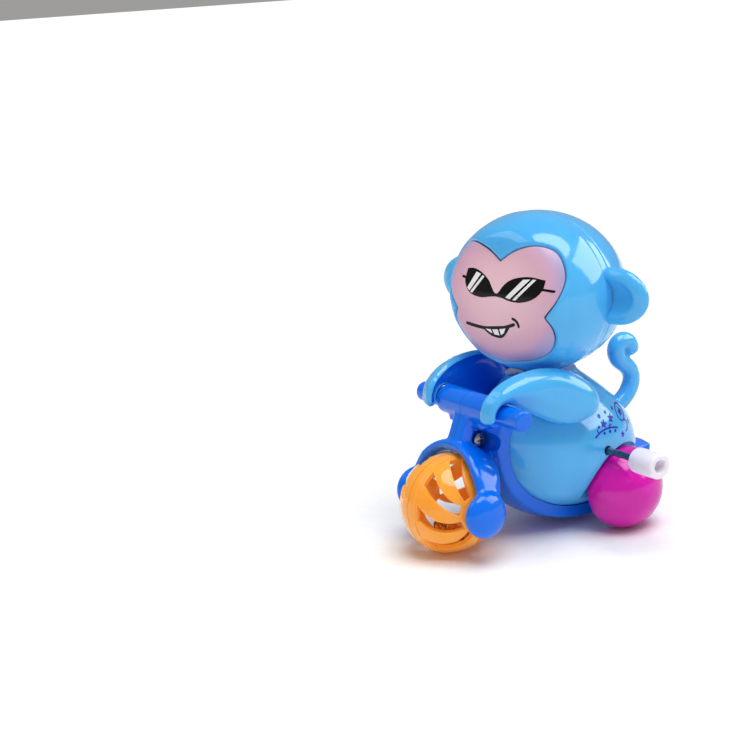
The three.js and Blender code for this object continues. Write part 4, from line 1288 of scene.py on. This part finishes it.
def star(y, z, radius):
    outline = spread(0, 0, 10, lambda k, _: radius * (0.45 if k % 2 else 1))
    return [(y - across, z + up) for up, across in outline]


def flower(y, z, radius, petals=5):
    return spread(y, z, 10 * petals, lambda _, angle: radius * (0.72 + 0.28 * math.cos(petals * angle)))


def dot(y, z, radius):
    return spread(y, z, 20, lambda *_: radius)


def round_stroke(y, z, radius, width):
    return stroke(arc((y, z), radius, 0, 350, 12), width)


flank_print = [flower(17.6, 33.1, 1.25), flower(21.3, 33.9, 1.3), dot(19.9, 35.8, 0.5),
               dot(16.8, 35.4, 0.6), dot(15.4, 32.6, 0.45), star(24.0, 35.9, 0.7),
               stroke([(13.4, 30.1), (15.6, 31.2), (18.2, 31.6), (20.8, 31.4), (23.2, 30.8)], 0.5),
               stroke([(15.0, 30.9), (14.6, 31.5), (14.6, 32.0)], 0.45), dot(17.0, 30.6, 0.45),
               stroke([(19.2, 31.6), (19.9, 32.2), (20.6, 32.3)], 0.45), dot(19.4, 30.6, 0.5),
               dot(21.8, 30.2, 0.45), round_stroke(27.4, 34.0, 2.3, 0.42), star(27.4, 34.0, 1.5),
               stroke([(28.3, 31.8), (29.3, 30.6), (28.9, 29.2), (27.4, 28.6)], 0.42),
               flower(25.2, 28.3, 0.95), star(30.9, 30.4, 0.75)]


def print_on_flank(outlines):
    films = []
    for outline in outlines:
        bm = flat_film(outline, 0.9)
        for vert in bm.verts:
            y, z = vert.co.x, vert.co.y
            vert.co = Vector((on_belly(y, z, 0.05), y, z))
        films.append(modified(facing(bm, Vector((1, 0, 0))), "SOLIDIFY", thickness=FILM, offset=-1))
    return together(*films)


finished(print_on_flank(flank_print), "print_flank", violet_ink, "tricycle",
         sharp=60)

# %% [markdown]
# ## Hidden works
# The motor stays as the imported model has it, because its gears are exact there. It still gets real
# finishes, for anyone who opens the belly.

# %% Finish the motor
inside = {"acetal": acetal, "steel": steel, "sky": sky}
carried = {"motor_plate_left": "acetal", "motor_plate_right": "acetal", "main_gear": "acetal",
           "idler_gear": "acetal", "motor_pillar_1": "steel", "motor_pillar_2": "steel",
           "motor_pillar_3": "steel", "ratchet_wheel": "steel", "idler_pinion": "steel",
           "axle_pinion": "steel", "idler_shaft": "steel", "mainspring": "steel", "rear_axle": "steel",
           "neck_spigot": "sky"}
for node, look in carried.items():
    mesh = frame["nodes"][node].data
    mesh.materials.clear()
    mesh.materials.append(inside[look])
print("carried over:", len(carried), "nodes")

# %% [markdown]
# ## Floor and light
# A white paper floor, a very wide sun that acts as an overcast sky, and a dim white room. Glossy
# plastic needs something to reflect, so two cards shine on the gloss alone: a large one behind the
# toy on its left, and a small one in front of it on its right.

# %% Set the stage
def plain_floor():
    bm = bmesh.new()
    bmesh.ops.create_circle(bm, cap_ends=True, segments=64, radius=40.0)
    floor = as_object(bm, "floor")
    floor.location.z = min(0.0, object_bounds()[0].z)
    material, nodes, links, shader, place = new_material("white_paper")
    grain = noise(nodes, links, place, 300, 3)
    paper = tinted(nodes, links, ranged(nodes, links, grain, 0, 1), linear(0xFCFCFC), linear(0xF8F8F9))
    links.new(paper, shader.inputs["Base Color"])
    shader.inputs["Roughness"].default_value = 0.8
    shader.inputs["Specular IOR Level"].default_value = 0.1
    floor.data.materials.append(material)
    floor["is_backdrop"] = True
    return floor


def direction(azimuth, elevation):
    """Azimuth 0 lies in front of the toy and 90 on its left."""
    side, up = math.radians(azimuth), math.radians(elevation)
    return Vector((math.sin(side) * math.cos(up), -math.cos(side) * math.cos(up), math.sin(up)))


def lamp(name, kind, towards, distance, energy):
    light = bpy.data.lights.new(name, kind)
    light.energy = energy
    placed = bpy.data.objects.new(name, light)
    scene.collection.objects.link(placed)
    placed.location = Vector((0, 0, 0.05)) + towards * distance
    placed.rotation_euler = towards.to_track_quat("Z", "Y").to_euler()
    return placed


def gloss_card(name, azimuth, elevation, size, energy):
    card = lamp(name, "AREA", direction(azimuth, elevation), 0.6, energy)
    card.data.shape = "RECTANGLE"
    card.data.size, card.data.size_y = size
    card.visible_diffuse = False
    return card


plain_floor()
sky_light = lamp("overcast", "SUN", direction(100, 76), 1.0, 2.6)
sky_light.data.angle = math.radians(46)
gloss_card("gloss_card_right", 148, 33, (0.54, 0.42), 3.6)
gloss_card("gloss_card_left", -35, 45, (0.30, 0.30), 0.4)
world = bpy.data.worlds.new("room")
world.use_nodes = True
world.node_tree.nodes["Background"].inputs["Color"].default_value = (1.0, 0.985, 0.95, 1)
world.node_tree.nodes["Background"].inputs["Strength"].default_value = 0.34
scene.world = world
scene.view_settings.view_transform = "Standard"

# %% [markdown]
# ## Measure and finish
# The finished skins are measured against the imported model's box, and how far they reach past it on each
# side is printed. The finished skins have to stay in the imported model's box.

# %% Measure and finish
look_low, look_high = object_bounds()
growth = zip([*cad_low, *look_high], [*look_low, *cad_high])
print("grown by", [round((a - b) / MM, 3) for a, b in growth])
